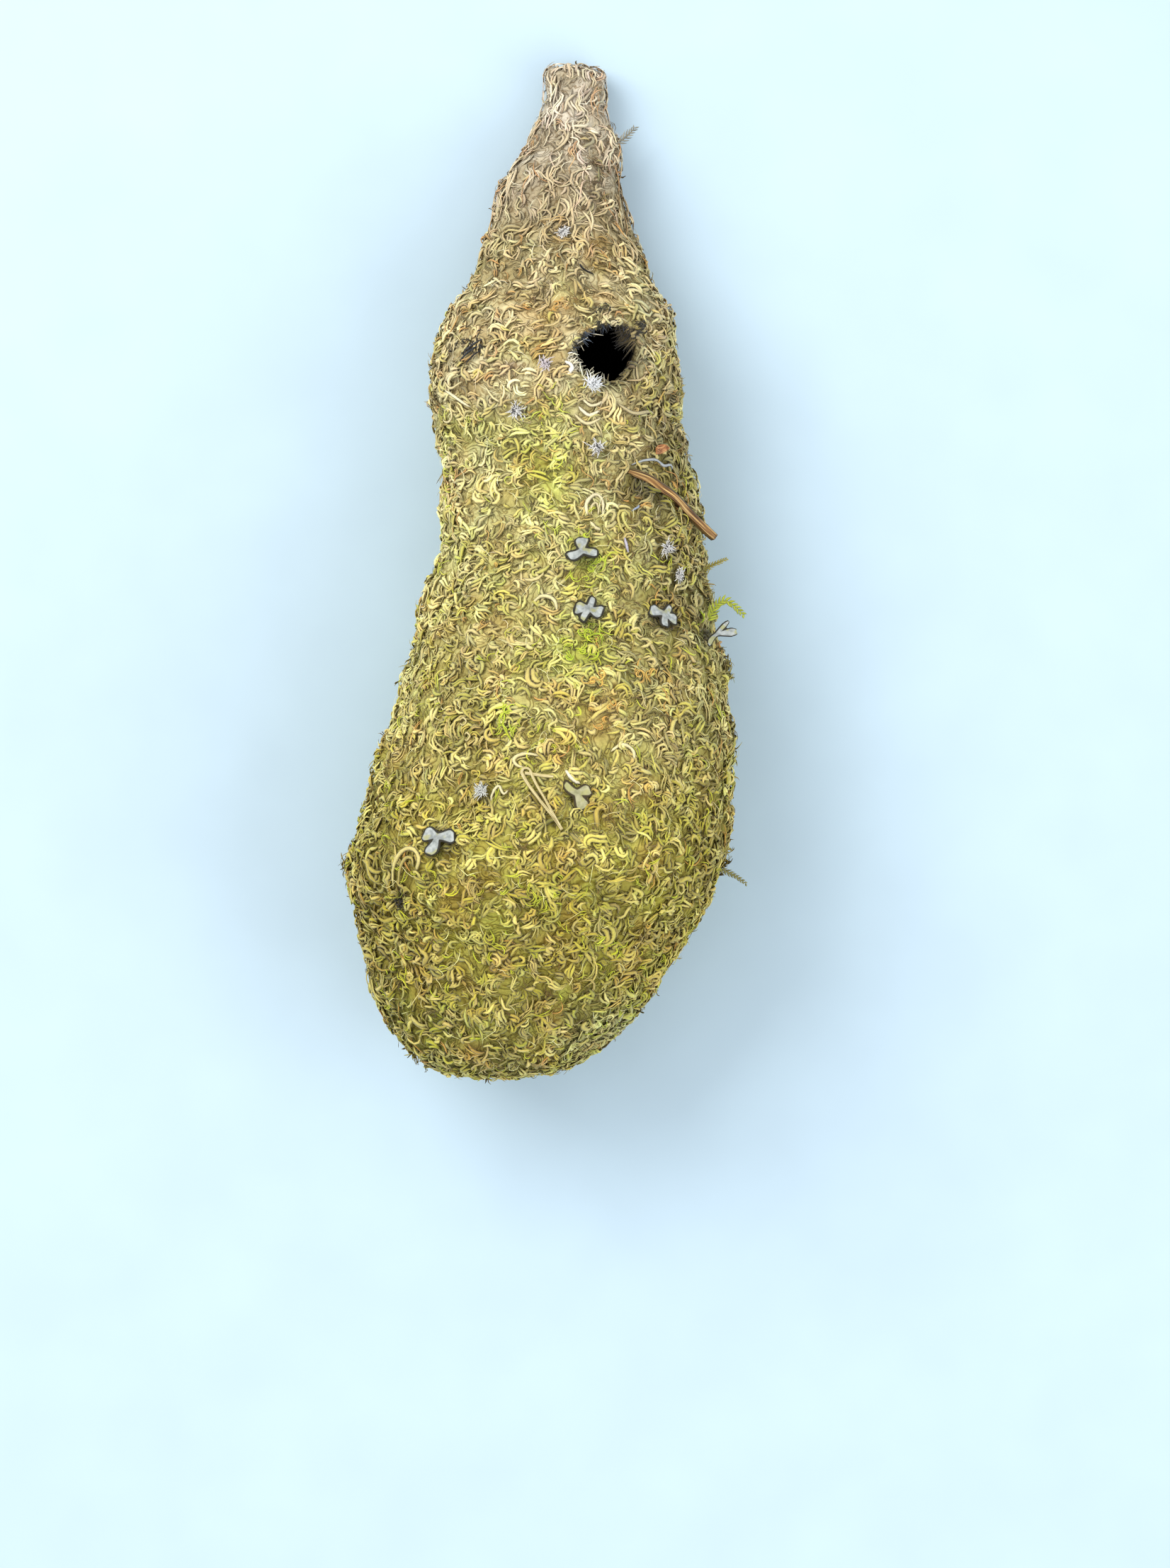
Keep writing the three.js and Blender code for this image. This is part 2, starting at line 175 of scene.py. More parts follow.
WASHES = (
    Wash(33.0, 211.0, 9.0, 14.0, "9a8e62", 0.12),
    Wash(29.0, 175.5, 9.0, 7.0, "7c6a3a", 0.6),
    Wash(42.0, 176.0, 11.0, 32.0, "74682a", 0.7),
    Wash(2.7, 182.0, 11.0, 13.0, "ccd04e", 0.65),
    Wash(-20.0, 193.0, 13.0, 6.0, "c6ca62", 0.55),
    Wash(17.0, 153.0, 8.0, 11.0, "c8cf58", 0.5),
    Wash(13.2, 126.6, 10.0, 7.0, "bcc648", 0.65),
    Wash(40.0, 138.0, 12.0, 9.0, "74662e", 0.72),
    Wash(-49.0, 56.0, 15.0, 27.0, "716512", 0.78),
    Wash(51.0, 68.0, 10.0, 24.0, "827530", 0.6),
    Wash(-12.0, 73.0, 20.0, 14.0, "c8bd5c", 0.4),
    Wash(-24.0, 215.0, 12.0, 9.0, "e0d3aa", 0.5),
    Wash(0.6, 226.0, 13.0, 8.0, "d4a866", 0.4),
    Wash(-8.2, 211.6, 5.0, 2.4, "bda285", 0.6),
    Wash(-41.0, 14.0, 14.0, 14.0, "6e7420", 0.65),
    Wash(24.0, 14.0, 14.0, 9.0, "b4ba84", 0.5),
    Wash(17.5, 248.0, 5.0, 4.0, "cf9548", 0.5),
    Wash(3.0, 270.0, 8.0, 5.0, "a58a68", 0.45),
    Wash(-6.0, 290.0, 5.0, 9.0, "b89c7c", 0.45),
    Wash(24.0, 281.0, 6.0, 8.0, "b49a78", 0.4),
    Wash(-30.0, 32.0, 10.0, 8.0, "8c7c34", 0.45),
    Wash(19.0, 107.0, 7.0, 6.0, "cf9a4e", 0.4),
    Wash(-22.0, 108.0, 9.0, 16.0, "968542", 0.55),
    Wash(30.0, 100.0, 12.0, 10.0, "d9cc88", 0.4),
    Wash(-36.0, 66.0, 14.0, 9.0, "d6c86c", 0.35),
)

# Hollows in the coat that lie in shadow, darkest in the core: x, up, radius and how light it is there
HOLLOW_CORE = 0.45
HOLLOWS = (
    (14.6, 155.4, 5.2, 0.5), (15.6, 138.4, 5.2, 0.5), (37.8, 136.4, 5.6, 0.42), (12.4, 84.2, 5.0, 0.55),
    (-27.0, 71.6, 6.4, 0.42), (31.0, 176.2, 4.4, 0.42), (36.0, 173.0, 3.6, 0.5), (-40.0, 55.5, 2.6, 0.35),
    (49.6, 133.1, 2.6, 0.35), (50.6, 131.3, 2.6, 0.4), (18.6, 186.4, 4.0, 0.6), (39.0, 157.4, 3.8, 0.6),
    (41.8, 149.6, 3.4, 0.6), (-14.0, 85.6, 4.2, 0.55), (0.6, 84.6, 3.0, 0.6), (4.6, 77.6, 3.0, 0.6),
    (-20.6, 206.0, 2.4, 0.6),
)


def hollow_shade(points: Array) -> Array:
    """How light each place is for the hollows of the coat, from near 0 to 1.

    Args:
        points: places in the frame.

    Returns:
        A share of the light for each place.
    """
    x, up = on_nest(points)
    light = np.ones(points.shape[:-1])
    front = points[..., 2] > FRONT_LEVEL
    for hollow_x, hollow_up, radius, depth in HOLLOWS:
        away = np.hypot(x - hollow_x, up - hollow_up)
        shade = depth + (1 - depth) * smooth_step(radius * HOLLOW_CORE, radius, away)
        light = np.where(front, light * shade, light)
    return light


# Mottling in two tones: the tone, the distance between its blotches and the seed
MOTTLES = (("c0c644", 7.0, 41), ("c8944c", 8.0, 42))
MOTTLE_SHARE = 0.24
MOTTLE_STEP = (0.2, 1.3)
NECK_PLAINNESS = 0.9

# Light and dark patches: distance between them, seed and strength. Dark ones are more brown.
PATCHES = ((5.5, 43, 0.15), (2.6, 44, 0.1))
PATCH_WARMTH = 0.5
WARM_CHANNELS = (0.0, 0.3, 1.0)


class Tones:
    """Tone of the nest's surface at each place, as plants of different kinds were worked in, with painted
    shade on its sides and in the dark washes.
    """

    def __init__(self) -> None:
        """Sets out the bands from the base upwards."""
        rising = sorted(FELT_BANDS)
        self.ups = np.array([up for up, _ in rising], float)
        self.colours = np.array([linear(tone) for _, tone in rising])

    def at(self, points: Array, normals: Array) -> Array:
        """Colours of the surface.

        Args:
            points: places in the frame.
            normals: the way the surface faces at each place.

        Returns:
            A linear colour for each place.
        """
        x, up = on_nest(points)
        colour = np.stack([np.interp(up, self.ups, self.colours[:, i]) for i in range(3)], axis=-1)
        for tone, size, seed in MOTTLES:
            share = smooth_step(*MOTTLE_STEP, blotches(points, size, seed)) * MOTTLE_SHARE
            plainer = 1 - NECK_PLAINNESS * smooth_step(*MOTTLES_END, up)
            colour = fade(colour, linear(tone), share * plainer)
        front = smooth_step(*FRONT_STEP, points[..., 2])
        for wash in WASHES:
            away = np.hypot((x - wash.x) / wash.wide, (up - wash.up) / wash.high)
            colour = fade(colour, linear(wash.tone), wash.share * np.exp(-(away**2)) * front)
        # Painted shade on the right of the body and low on the left
        body = smooth_step(*BODY_START, up) * (1 - smooth_step(*BODY_END, up))
        share = smooth_step(*RIGHT_TURN, normals[..., 0]) * SHADED_SIDE_SHARE * body
        low = 1 - smooth_step(*BASE_END, up)
        share = share + smooth_step(*LEFT_TURN, -normals[..., 0]) * LOW_SIDE_SHADE_SHARE * low
        colour = fade(colour, linear(SHADED_SIDE_TONE), share)
        light = sum(strength * np.tanh(blotches(points, size, seed)) for size, seed, strength in PATCHES)
        warmth = PATCH_WARMTH ** (-light[..., None] * np.array(WARM_CHANNELS))
        return colour * np.exp(light)[..., None] * warmth


FUNNEL_SHADE_REACH = 6.5
FUNNEL_SHADE_TURN = -0.15
RIM_SHADE_REACH = 1.4
DEEPEST_SHADE = 0.13
SHADE_CURVE = 1.25


def entrance_shade(points: Array) -> Array:
    """How light the lip and funnel of the entrance are, as painted shade, from near 0 in the hole to 1 away
    from it.

    Args:
        points: places in the frame.

    Returns:
        A share of the light for each place.
    """
    x, up = on_nest(points)
    across = x - ENTRANCE_X
    along = up - ENTRANCE_UP
    away = np.hypot(across, along)
    facing = across * math.cos(FUNNEL_SHADE_TURN) + along * math.sin(FUNNEL_SHADE_TURN)
    facing = facing / np.maximum(away, 1e-6)
    reach = RIM_SHADE_REACH + FUNNEL_SHADE_REACH * np.clip(facing + 0.15, 0, 1)
    light = np.clip((away - ENTRANCE_RADIUS) / reach, 0, 1) ** SHADE_CURVE
    return np.where(points[..., 2] > ENTRANCE_LEVEL, DEEPEST_SHADE + (1 - DEEPEST_SHADE) * light, 1.0)


def set_mode(mode: str) -> None:
    """Goes to object mode or edit mode."""
    bpy.ops.object.mode_set(mode=mode)


def deselect() -> None:
    """Leaves object mode with nothing selected."""
    if bpy.context.object and bpy.context.object.mode != "OBJECT":
        set_mode("OBJECT")
    bpy.ops.object.select_all(action="DESELECT")


def choose(piece: Piece) -> None:
    """Makes a piece the only one selected, and the active one.

    Args:
        piece: the object.
    """
    deselect()
    piece.select_set(True)
    bpy.context.view_layer.objects.active = piece


def join(parts: Sequence[Piece], name: str) -> Piece:
    """Joins parts in one piece, the first of them, under a new name.

    Args:
        parts: the objects.
        name: what the joined piece is called.

    Returns:
        The piece.
    """
    choose(parts[0])
    for part in parts:
        part.select_set(True)
    bpy.ops.object.join()
    return named(name)


def named(name: str) -> Piece:
    """Names the active object and its mesh, and returns it.

    Args:
        name: its new name.

    Returns:
        The object.
    """
    piece = bpy.context.object
    piece.name = piece.data.name = name
    return piece


def apply_modifier(piece: Piece, kind: str, **settings: object) -> None:
    """Adds a modifier of that kind with its settings and applies it.

    Args:
        piece: the object that is changed.
        kind: Blender's name for the modifier.
        settings: values of the modifier's properties.
    """
    modifier = piece.modifiers.new(kind.lower(), kind)
    for key, value in settings.items():
        setattr(modifier, key, value)
    choose(piece)
    bpy.ops.object.modifier_apply(modifier=modifier.name)


def vectors_of(mesh: bpy.types.Mesh, kind: str = "co") -> Array:
    """Places of a mesh's vertices, or their smooth normals.

    Args:
        mesh: the mesh.
        kind: co for places, normal for normals.

    Returns:
        A vector for each vertex.
    """
    flat = np.zeros(len(mesh.vertices) * 3, np.float32)
    mesh.vertices.foreach_get(kind, flat)
    return flat.reshape(-1, 3).astype(float)


def set_points(mesh: bpy.types.Mesh, points: Array) -> None:
    """Moves a mesh's vertices."""
    mesh.vertices.foreach_set("co", points.astype(np.float32).ravel())
    mesh.update()


# Kinds of mesh attribute, by how many numbers a vertex has: the kind, and the property that holds them
ATTRIBUTE_KINDS = {1: ("FLOAT", "value"), 3: ("FLOAT_VECTOR", "vector"), 4: ("FLOAT_COLOR", "color")}


def add_attribute(mesh: bpy.types.Mesh, name: str, values: Array) -> None:
    """Gives every vertex a number, a vector or a colour under that name.

    Args:
        mesh: the mesh.
        name: the attribute's name.
        values: its value at each vertex.
    """
    kind, field_name = ATTRIBUTE_KINDS[values.size // len(mesh.vertices)]
    layer = mesh.attributes.new(name, kind, "POINT")
    layer.data.foreach_set(field_name, values.astype(np.float32).ravel())


def add_tints(mesh: bpy.types.Mesh, colours: Array) -> None:
    """Gives every vertex its own linear colour, under the name tint.

    Args:
        mesh: the mesh.
        colours: a colour for each vertex.
    """
    rgba = np.ones((len(colours), 4), np.float32)
    rgba[:, :3] = np.clip(colours, 0, 1)
    add_attribute(mesh, "tint", rgba)


def standing(facing: Vector) -> Matrix:
    """The turn that makes Z face that way."""
    return Vector((0, 0, 1)).rotation_difference(facing).to_matrix().to_4x4()


def finish_piece(piece: Piece, material: Material, replaces: Sequence[str] = ()) -> Piece:
    """Dresses a piece and puts it on the nest.

    Args:
        piece: the finished object.
        material: its material.
        replaces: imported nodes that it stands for.

    Returns:
        The piece.
    """
    piece.data.materials.clear()
    piece.data.materials.append(material)
    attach(piece, BODY)
    if replaces:
        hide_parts(*replaces)
    LOG.info("%s: %d faces", piece.name, len(piece.data.polygons))
    return piece


class Tree:
    """Short way to add and join the nodes of one shader tree."""

    def __init__(self, tree: bpy.types.NodeTree) -> None:
        """Keeps the tree that is worked on."""
        self.tree = tree

    def feed(self, node: Node, inputs: Inputs) -> Node:
        """Joins sockets to a node's inputs, or sets them to plain values.

        Args:
            node: the node.
            inputs: values or sockets, by name or number.

        Returns:
            The node.
        """
        for key, value in inputs.items():
            if isinstance(value, Socket):
                self.tree.links.new(value, node.inputs[key])
            else:
                node.inputs[key].default_value = value
        return node

    def add(self, kind: str, inputs: Inputs | None = None, **settings: object) -> Node:
        """Adds a node.

        Args:
            kind: the node's type, without its ShaderNode prefix.
            inputs: values or sockets for its inputs, by name or number.
            settings: values of the node's properties.

        Returns:
            The new node.
        """
        node = self.tree.nodes.new(kind if kind.startswith("Node") else "ShaderNode" + kind)
        for key, value in settings.items():
            setattr(node, key, value)
        return self.feed(node, inputs or {})

    def attribute(self, name: str, output: str = "Fac") -> Socket:
        """Reads one of the mesh's own attributes."""
        return self.add("Attribute", attribute_name=name).outputs[output]

    def math(self, operation: str, first: object, second: object = 0.0) -> Socket:
        """Adds a Math node and returns its result."""
        return self.add("Math", {0: first, 1: second}, operation=operation).outputs[0]

    def mix(self, share: object, first: object, second: object, blend: str = "MIX") -> Socket:
        """Adds a colour Mix node and returns its result."""
        inputs = {0: share, 6: first, 7: second}
        return self.add("Mix", inputs, data_type="RGBA", blend_type=blend).outputs[2]

    def scale(self, colour: Socket, value: Socket) -> Socket:
        """Makes a colour lighter or darker."""
        return self.add("VectorMath", {0: colour, "Scale": value}, operation="SCALE").outputs[0]

    def noise(self, spots: Socket, scale: float, detail: float = 2.0) -> Socket:
        """Adds a noise pattern and returns its value."""
        return self.add("TexNoise", {"Vector": spots, "Scale": scale, "Detail": detail}).outputs[0]

    def span(self, value: object, low: float, high: float, start: float = 0.0, end: float = 1.0) -> Socket:
        """Adds a clamped Map Range node and returns its result, start at low and end at high."""
        return self.add("MapRange", {0: value, 1: low, 2: high, 3: start, 4: end}).outputs[0]

    def bump(self, height: Socket, strength: float, distance: float) -> Socket:
        """Adds a Bump node, with its distance in millimetres, and returns the normal."""
        inputs = {"Height": height, "Strength": strength, "Distance": distance * MM}
        return self.add("Bump", inputs).outputs[0]

    def fibres(self, crown: object, edge: float, grain: float) -> tuple[Socket, Socket]:
        """Adds the shared effect of felted fibres and returns its colour and height.

        Args:
            crown: how near the strand's ridge a place is.
            edge: how dark the painted shade at the edges is.
            grain: how strong the mottling is.

        Returns:
            The colour and the height.
        """
        inputs = {"Tint": self.attribute("tint", "Color"), "Crown": crown, "Edge": edge, "Grain": grain}
        inputs["Coordinates"] = self.add("TexCoord").outputs["Object"]
        node = self.add("Group", inputs, node_tree=fibre_group())
        return node.outputs["Color"], node.outputs["Height"]


class Paint(Tree):
    """A new material, and its tree."""

    def __init__(self, name: str) -> None:
        """Makes the material.

        Args:
            name: the material's name.
        """
        self.material = bpy.data.materials.new(name)
        self.material.use_nodes = True
        super().__init__(self.material.node_tree)

    def done(self, **inputs: object) -> Material:
        """Feeds the shader, with its inputs named by words joined with _, and returns the material.

        Args:
            inputs: values or sockets for the shader's inputs.

        Returns:
            The material.
        """
        shader = self.tree.nodes["Principled BSDF"]
        self.feed(shader, {key.replace("_", " "): value for key, value in inputs.items()})
        return self.material


FIBRE_GROUP = "fibre_tone"
FIBRE_INPUTS = {
    "Tint": "Color",
    "Crown": "Float",
    "Coordinates": "Vector",
    "Edge": "Float",
    "Grain": "Float",
}
FINE_GRAIN = 1400.0
BROAD_GRAIN = 160.0
# Tint that darkens the edges of strands and the grooves of the felt's curls: painted shade
EDGE_SHADE_TINT = (0.33, 0.24, 0.14, 1.0)


def fibre_group() -> bpy.types.NodeTree:
    """Shared effect of felted fibres: the tint from the mesh, darker at each strand's edges as painted
    shade, with mottling.

    Returns:
        The group, which is built once.
    """
    if FIBRE_GROUP in bpy.data.node_groups:
        return bpy.data.node_groups[FIBRE_GROUP]
    group = bpy.data.node_groups.new(FIBRE_GROUP, "ShaderNodeTree")
    for name, kind in FIBRE_INPUTS.items():
        group.interface.new_socket(name, in_out="INPUT", socket_type="NodeSocket" + kind)
    group.interface.new_socket("Color", in_out="OUTPUT", socket_type="NodeSocketColor")
    group.interface.new_socket("Height", in_out="OUTPUT", socket_type="NodeSocketFloat")
    tree = Tree(group)
    given = tree.add("NodeGroupInput").outputs
    fine = tree.noise(given["Coordinates"], FINE_GRAIN, 3.0)
    broad = tree.noise(given["Coordinates"], BROAD_GRAIN)
    rim = tree.math("MULTIPLY", tree.span(given["Crown"], 0.06, 0.26, 1.0, 0.0), given["Edge"])
    swing = tree.math("MULTIPLY", tree.math("SUBTRACT", fine, 0.5), given["Grain"])
    patch = tree.math("MULTIPLY", tree.math("SUBTRACT", broad, 0.5), given["Grain"])
    lit = tree.scale(given["Tint"], tree.math("ADD", tree.math("ADD", swing, patch), 1.0))
    edge_tone = tree.mix(1.0, given["Tint"], EDGE_SHADE_TINT, "MULTIPLY")
    tree.add("NodeGroupOutput", {"Color": tree.mix(rim, lit, edge_tone), "Height": fine})
    return group


@dataclass(frozen=True)
class FibreFinish:
    """Finish of strands, whose tint and crown come from the mesh, with painted shade at their edges."""

    name: str
    edge: float = 0.7
    grain: float = 0.5
    roughness: float = 0.85
    sheen: float = 0.15
    bump: float = 0.5

    def material(self) -> Material:
        """Builds the material.

        Returns:
            The material.
        """
        paint = Paint(self.name)
        colour, height = paint.fibres(paint.attribute("crown"), self.edge, self.grain)
        bump = paint.bump(height, self.bump, 0.3)
        look = {"Roughness": self.roughness, "Sheen_Weight": self.sheen, "Specular_IOR_Level": 0.2}
        return paint.done(Base_Color=colour, Normal=bump, **look)


CONTOUR_SIZE = 150.0
CONTOUR_COUNT = 9.0


@dataclass(frozen=True)
class FeltFinish:
    """Finish of the felted wall: its tint from the mesh, drawn over with fine nested curls whose grooves
    are darkened with painted shade.
    """

    name: str
    lines: float = 0.75
    grain: float = 0.7
    bump: float = 1.0

    def material(self) -> Material:
        """Builds the material.

        Returns:
            The material.
        """
        paint = Paint(self.name)
        spots = paint.add("TexCoord").outputs["Object"]
        inputs = {"Vector": spots, "Scale": CONTOUR_SIZE, "Detail": 2.0, "Distortion": 0.7}
        hills = paint.add("TexNoise", inputs).outputs[0]
        band = paint.math("FRACT", paint.math("MULTIPLY", hills, CONTOUR_COUNT))
        from_middle = paint.math("MULTIPLY", paint.math("ABSOLUTE", paint.math("SUBTRACT", band, 0.5)), 2.0)
        line = paint.math("MULTIPLY", paint.span(from_middle, 0.6, 0.95), self.lines)
        colour, height = paint.fibres(1.0, 0.0, self.grain)
        toned = paint.mix(line, colour, paint.mix(1.0, colour, EDGE_SHADE_TINT, "MULTIPLY"))
        height = paint.math("SUBTRACT", paint.math("MULTIPLY", height, 0.6), from_middle)
        bump = paint.bump(height, self.bump, 0.4)
        return paint.done(Base_Color=toned, Normal=bump, Roughness=0.95, Specular_IOR_Level=0.1)


@dataclass(frozen=True)
class StemFinish:
    """Finish of a stem or chip, with streaks along its length.

    The mesh gives the place on it as grain_place, and how much its sides are darkened with painted shade as
    side.
    """

    name: str
    dark: str
    middle: str
    light: str
    streaks: float = 2.0
    roughness: float = 0.6
    bump: float = 0.5

    def material(self) -> Material:
        """Builds the material.

        Returns:
            The material.
        """
        paint = Paint(self.name)
        spots = paint.attribute("grain_place", "Vector")
        streak = paint.noise(spots, self.streaks, 4.0)
        blotch = paint.noise(spots, self.streaks * 0.4)
        ramp = paint.add("ValToRGB", {"Fac": streak})
        stops = ramp.color_ramp.elements
        for stop, position, tone in ((stops[0], 0.36, self.dark), (stops[1], 0.66, self.light)):
            stop.position = position
            stop.color = (*linear(tone), 1.0)
        stops.new(0.5).color = (*linear(self.middle), 1.0)
        toned = paint.scale(ramp.outputs["Color"], paint.span(blotch, 0.3, 0.7, 0.75, 1.1))
        # The sides turn to the dark tone: painted shade
        toned = paint.mix(paint.attribute("side"), toned, (*linear(self.dark), 1.0))
        rough = paint.span(streak, 0.3, 0.7, self.roughness + 0.15, self.roughness - 0.1)
        return paint.done(Base_Color=toned, Normal=paint.bump(streak, self.bump, 0.2), Roughness=rough)


CORE_SHADE = 0.22
RIM_SOFTNESS = 0.25


@dataclass(frozen=True)
class LichenFinish:
    """Finish of a lichen flake, with painted shade along its rim and in its core. The mesh gives the share
    of the way out as rim.
    """

    name: str
    tone: str
    pale: str
    rim_shade_tone: str
    stain_tone: str = "a8a66a"
    rim_from: float = 0.08

    def material(self) -> Material:
        """Builds the material.

        Returns:
            The material.
        """
        paint = Paint(self.name)
        spots = paint.add("TexCoord").outputs["Object"]
        tone, pale, rim_shade_tone, stain_tone = (
            (*linear(tone), 1.0) for tone in (self.tone, self.pale, self.rim_shade_tone, self.stain_tone)
        )
        cloud = paint.noise(spots, 700.0, 3.0)
        grain = paint.noise(spots, 2600.0)
        body = paint.mix(paint.span(cloud, 0.35, 0.65), tone, pale)
        stain = paint.span(paint.noise(spots, 330.0, 1.0), 0.52, 0.62, 0.0, 0.75)
        body = paint.mix(stain, body, stain_tone)
        body = paint.mix(paint.math("MULTIPLY", paint.attribute("core"), CORE_SHADE), body, rim_shade_tone)
        edge = paint.span(paint.attribute("rim"), self.rim_from, self.rim_from + RIM_SOFTNESS)
        height = paint.math("ADD", cloud, paint.math("MULTIPLY", grain, 0.5))
        rough = paint.span(grain, 0.3, 0.7, 0.75, 0.95)
        toned = paint.mix(edge, body, rim_shade_tone)
        return paint.done(Base_Color=toned, Normal=paint.bump(height, 0.5, 0.2), Roughness=rough)


@dataclass
class FeltBody:
    """The felted wall of the nest, inside and out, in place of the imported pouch. Sizes in millimetres."""

    tones: Tones
    voxel: float = 2.05
    set_in: float = 1.4
    lump_size: float = 4.5
    lump_height: float = 1.6
    gap_shade: float = 0.84
    chamber_shade_tone: str = "0d0b09"
    lip_shade_tone: str = "5c5032"
    lip_low: float = 56.0
    lip_high: float = 68.0
    lip_reach: float = 14.0
    ray_start: float = 0.6
    funnel_reach: float = 20.0
    funnel_floor: float = 52.0

    def __post_init__(self) -> None:
        """Builds the wall, finds its outside and colours it."""
        self.piece = self.wall()
        self.outside = self.outer_vertices()
        self.dress()

    def wall(self) -> Piece:
        """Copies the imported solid, merges it, evens out its mesh and makes it lumpy.

        Returns:
            The wall.
        """
        choose(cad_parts["pouch"])
        bpy.ops.object.duplicate()
        piece = named("felt_wall")
        for key in [key for key in piece.keys() if key.startswith("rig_")]:
            del piece[key]
        piece.parent = None
        set_mode("EDIT")
        bpy.ops.mesh.select_all(action="SELECT")
        bpy.ops.mesh.remove_doubles(threshold=0.001 * MM)
        set_mode("OBJECT")
        apply_modifier(piece, "REMESH", mode="VOXEL", voxel_size=self.voxel * MM, use_smooth_shade=True)
        apply_modifier(piece, "SMOOTH", factor=0.5, iterations=3)
        apply_modifier(piece, "DISPLACE", strength=-self.set_in * MM, mid_level=0.0)
        lumps = bpy.data.textures.new("felt_lumps", "CLOUDS")
        lumps.noise_scale = self.lump_size * MM
        lumps.noise_depth = 2
        look = {"texture": lumps, "texture_coords": "LOCAL", "mid_level": 0.5}
        apply_modifier(piece, "DISPLACE", strength=self.lump_height * MM, **look)
        points = vectors_of(piece.data)
        points[:, 2] = np.maximum(points[:, 2], FLOOR_GAP * MM)
        set_points(piece.data, points)
        return piece

    def outer_vertices(self) -> Array:
        """Finds the vertices from which a way out meets nothing: straight out, or up from the funnel.

        Returns:
            Whether each vertex is on the outside.
        """
        mesh = self.piece.data
        points = vectors_of(mesh)
        normals = vectors_of(mesh, "normal")
        tree = BVHTree.FromPolygons(points.tolist(), [tuple(face.vertices) for face in mesh.polygons])
        outside = np.zeros(len(points), bool)
        x, up = on_nest(points)
        funnel = np.hypot(x - ENTRANCE_X, up - ENTRANCE_UP) < self.funnel_reach
        funnel &= (normals[:, 2] > 0.1) & (points[:, 2] > self.funnel_floor * MM)
        for index, (point, normal) in enumerate(zip(points, normals)):
            way = Vector((0, 0, 1)) if funnel[index] else Vector(normal)
            outside[index] = tree.ray_cast(Vector(point + normal * self.ray_start * MM), way)[0] is None
        return outside

    def dress(self) -> None:
        """Colours the wall: painted dark in the chamber and on the lip of the entrance as painted shade,
        and shaded where gaps between the curls show it.
        """
        mesh = self.piece.data
        points = vectors_of(mesh)
        colours = self.tones.at(points, vectors_of(mesh, "normal")) * self.gap_shade
        colours *= (entrance_shade(points) * hollow_shade(points))[:, None]
        # Painted shade: near black in the chamber, turning dark brown up the lip of the entrance
        x, up = on_nest(points)
        near = np.hypot(x - ENTRANCE_X, up - ENTRANCE_UP) < self.lip_reach
        lip = smooth_step(self.lip_low * MM, self.lip_high * MM, points[:, 2]) * near
        inside = fade(linear(self.chamber_shade_tone), linear(self.lip_shade_tone), lip)
        colours[~self.outside] = inside[~self.outside]
        add_tints(mesh, colours)
        add_attribute(mesh, "crown", np.ones(len(points)))
        finish_piece(self.piece, FeltFinish("felted_moss_wall").material(), ["pouch"])


class Skin:
    """The outer surface of the felt, on which the curls and the rest are laid."""

    def __init__(self, felt: FeltBody) -> None:
        """Reads the surface from the felted wall.

        Args:
            felt: the felted wall.
        """
        mesh = felt.piece.data
        mesh.calc_loop_triangles()
        corners = np.zeros(len(mesh.loop_triangles) * 3, np.int32)
        mesh.loop_triangles.foreach_get("vertices", corners)
        corners = corners.reshape(-1, 3)
        self.points = vectors_of(mesh)
        self.corners = corners[felt.outside[corners].all(axis=1)]
        a, b, c = (self.points[self.corners[:, i]] for i in range(3))
        area = np.linalg.norm(np.cross(b - a, c - a), axis=1) / 2
        self.shares = np.cumsum(area) / area.sum()
        self.face_normals = unit(vectors_of(mesh, "normal")[self.corners].mean(axis=1))
        self.tree = BVHTree.FromPolygons(self.points.tolist(), self.corners.tolist())

    def scatter(self, count: int, rng: np.random.Generator) -> tuple[Array, Array]:
        """Picks places evenly over the surface, and gives the normals there too.

        Args:
            count: how many.
            rng: the source of random numbers.

        Returns:
            The places and the normals.
        """
        faces = np.minimum(np.searchsorted(self.shares, rng.random(count)), len(self.corners) - 1)
        weights = rng.dirichlet((1.0, 1.0, 1.0), count)
        points = np.einsum("nk,nkc->nc", weights, self.points[self.corners[faces]])
        return points, self.face_normals[faces]

    def settle(self, points: Array) -> tuple[Array, Array]:
        """Moves places to the nearest surface, and gives the normals there too, in the same shape.

        Args:
            points: places in the frame.

        Returns:
            The nearest places, and the normals there.
        """
        flat = points.reshape(-1, 3)
        settled = np.empty_like(flat)
        normals = np.empty_like(flat)
        for index, point in enumerate(flat):
            nearest, _, face, _ = self.tree.find_nearest(Vector(point))
            settled[index] = nearest
            normals[index] = self.face_normals[face]
        return settled.reshape(points.shape), normals.reshape(points.shape)

    def drop(self, x: float, up: float) -> tuple[Array, Array]:
        """Drops straight down on to the surface, from above the nest.

        Args:
            x: place across the nest.
            up: place up the nest.

        Returns:
            The point met and the normal there.
        """
        start = place(x, up) + Vector((0, 0, ABOVE_ALL))
        hit, _, face, _ = self.tree.ray_cast(start, Vector((0, 0, -1)))
        if hit is None:
            nearest, normals = self.settle(np.array([place(x, up, 45)]))
            return nearest[0], normals[0]
        return np.array(hit), self.face_normals[face]

    def route(self, spots: Sequence[Pair], offs: Sequence[float]) -> Array:
        """Middle line of a stem over the surface, so far above it at each spot, in millimetres."""
        lifts = [np.array([0, 0, off * MM]) for off in offs]
        return np.array([self.drop(x, up)[0] + lift for (x, up), lift in zip(spots, lifts)])


# Where a strand's ends lie on its map for baking
END_CORNERS = ((0.9, 0.05), (0.97, 0.05), (0.9, 0.45))
CELL_SHARE = (0.8, 0.9)
CELL_MARGIN = 0.05


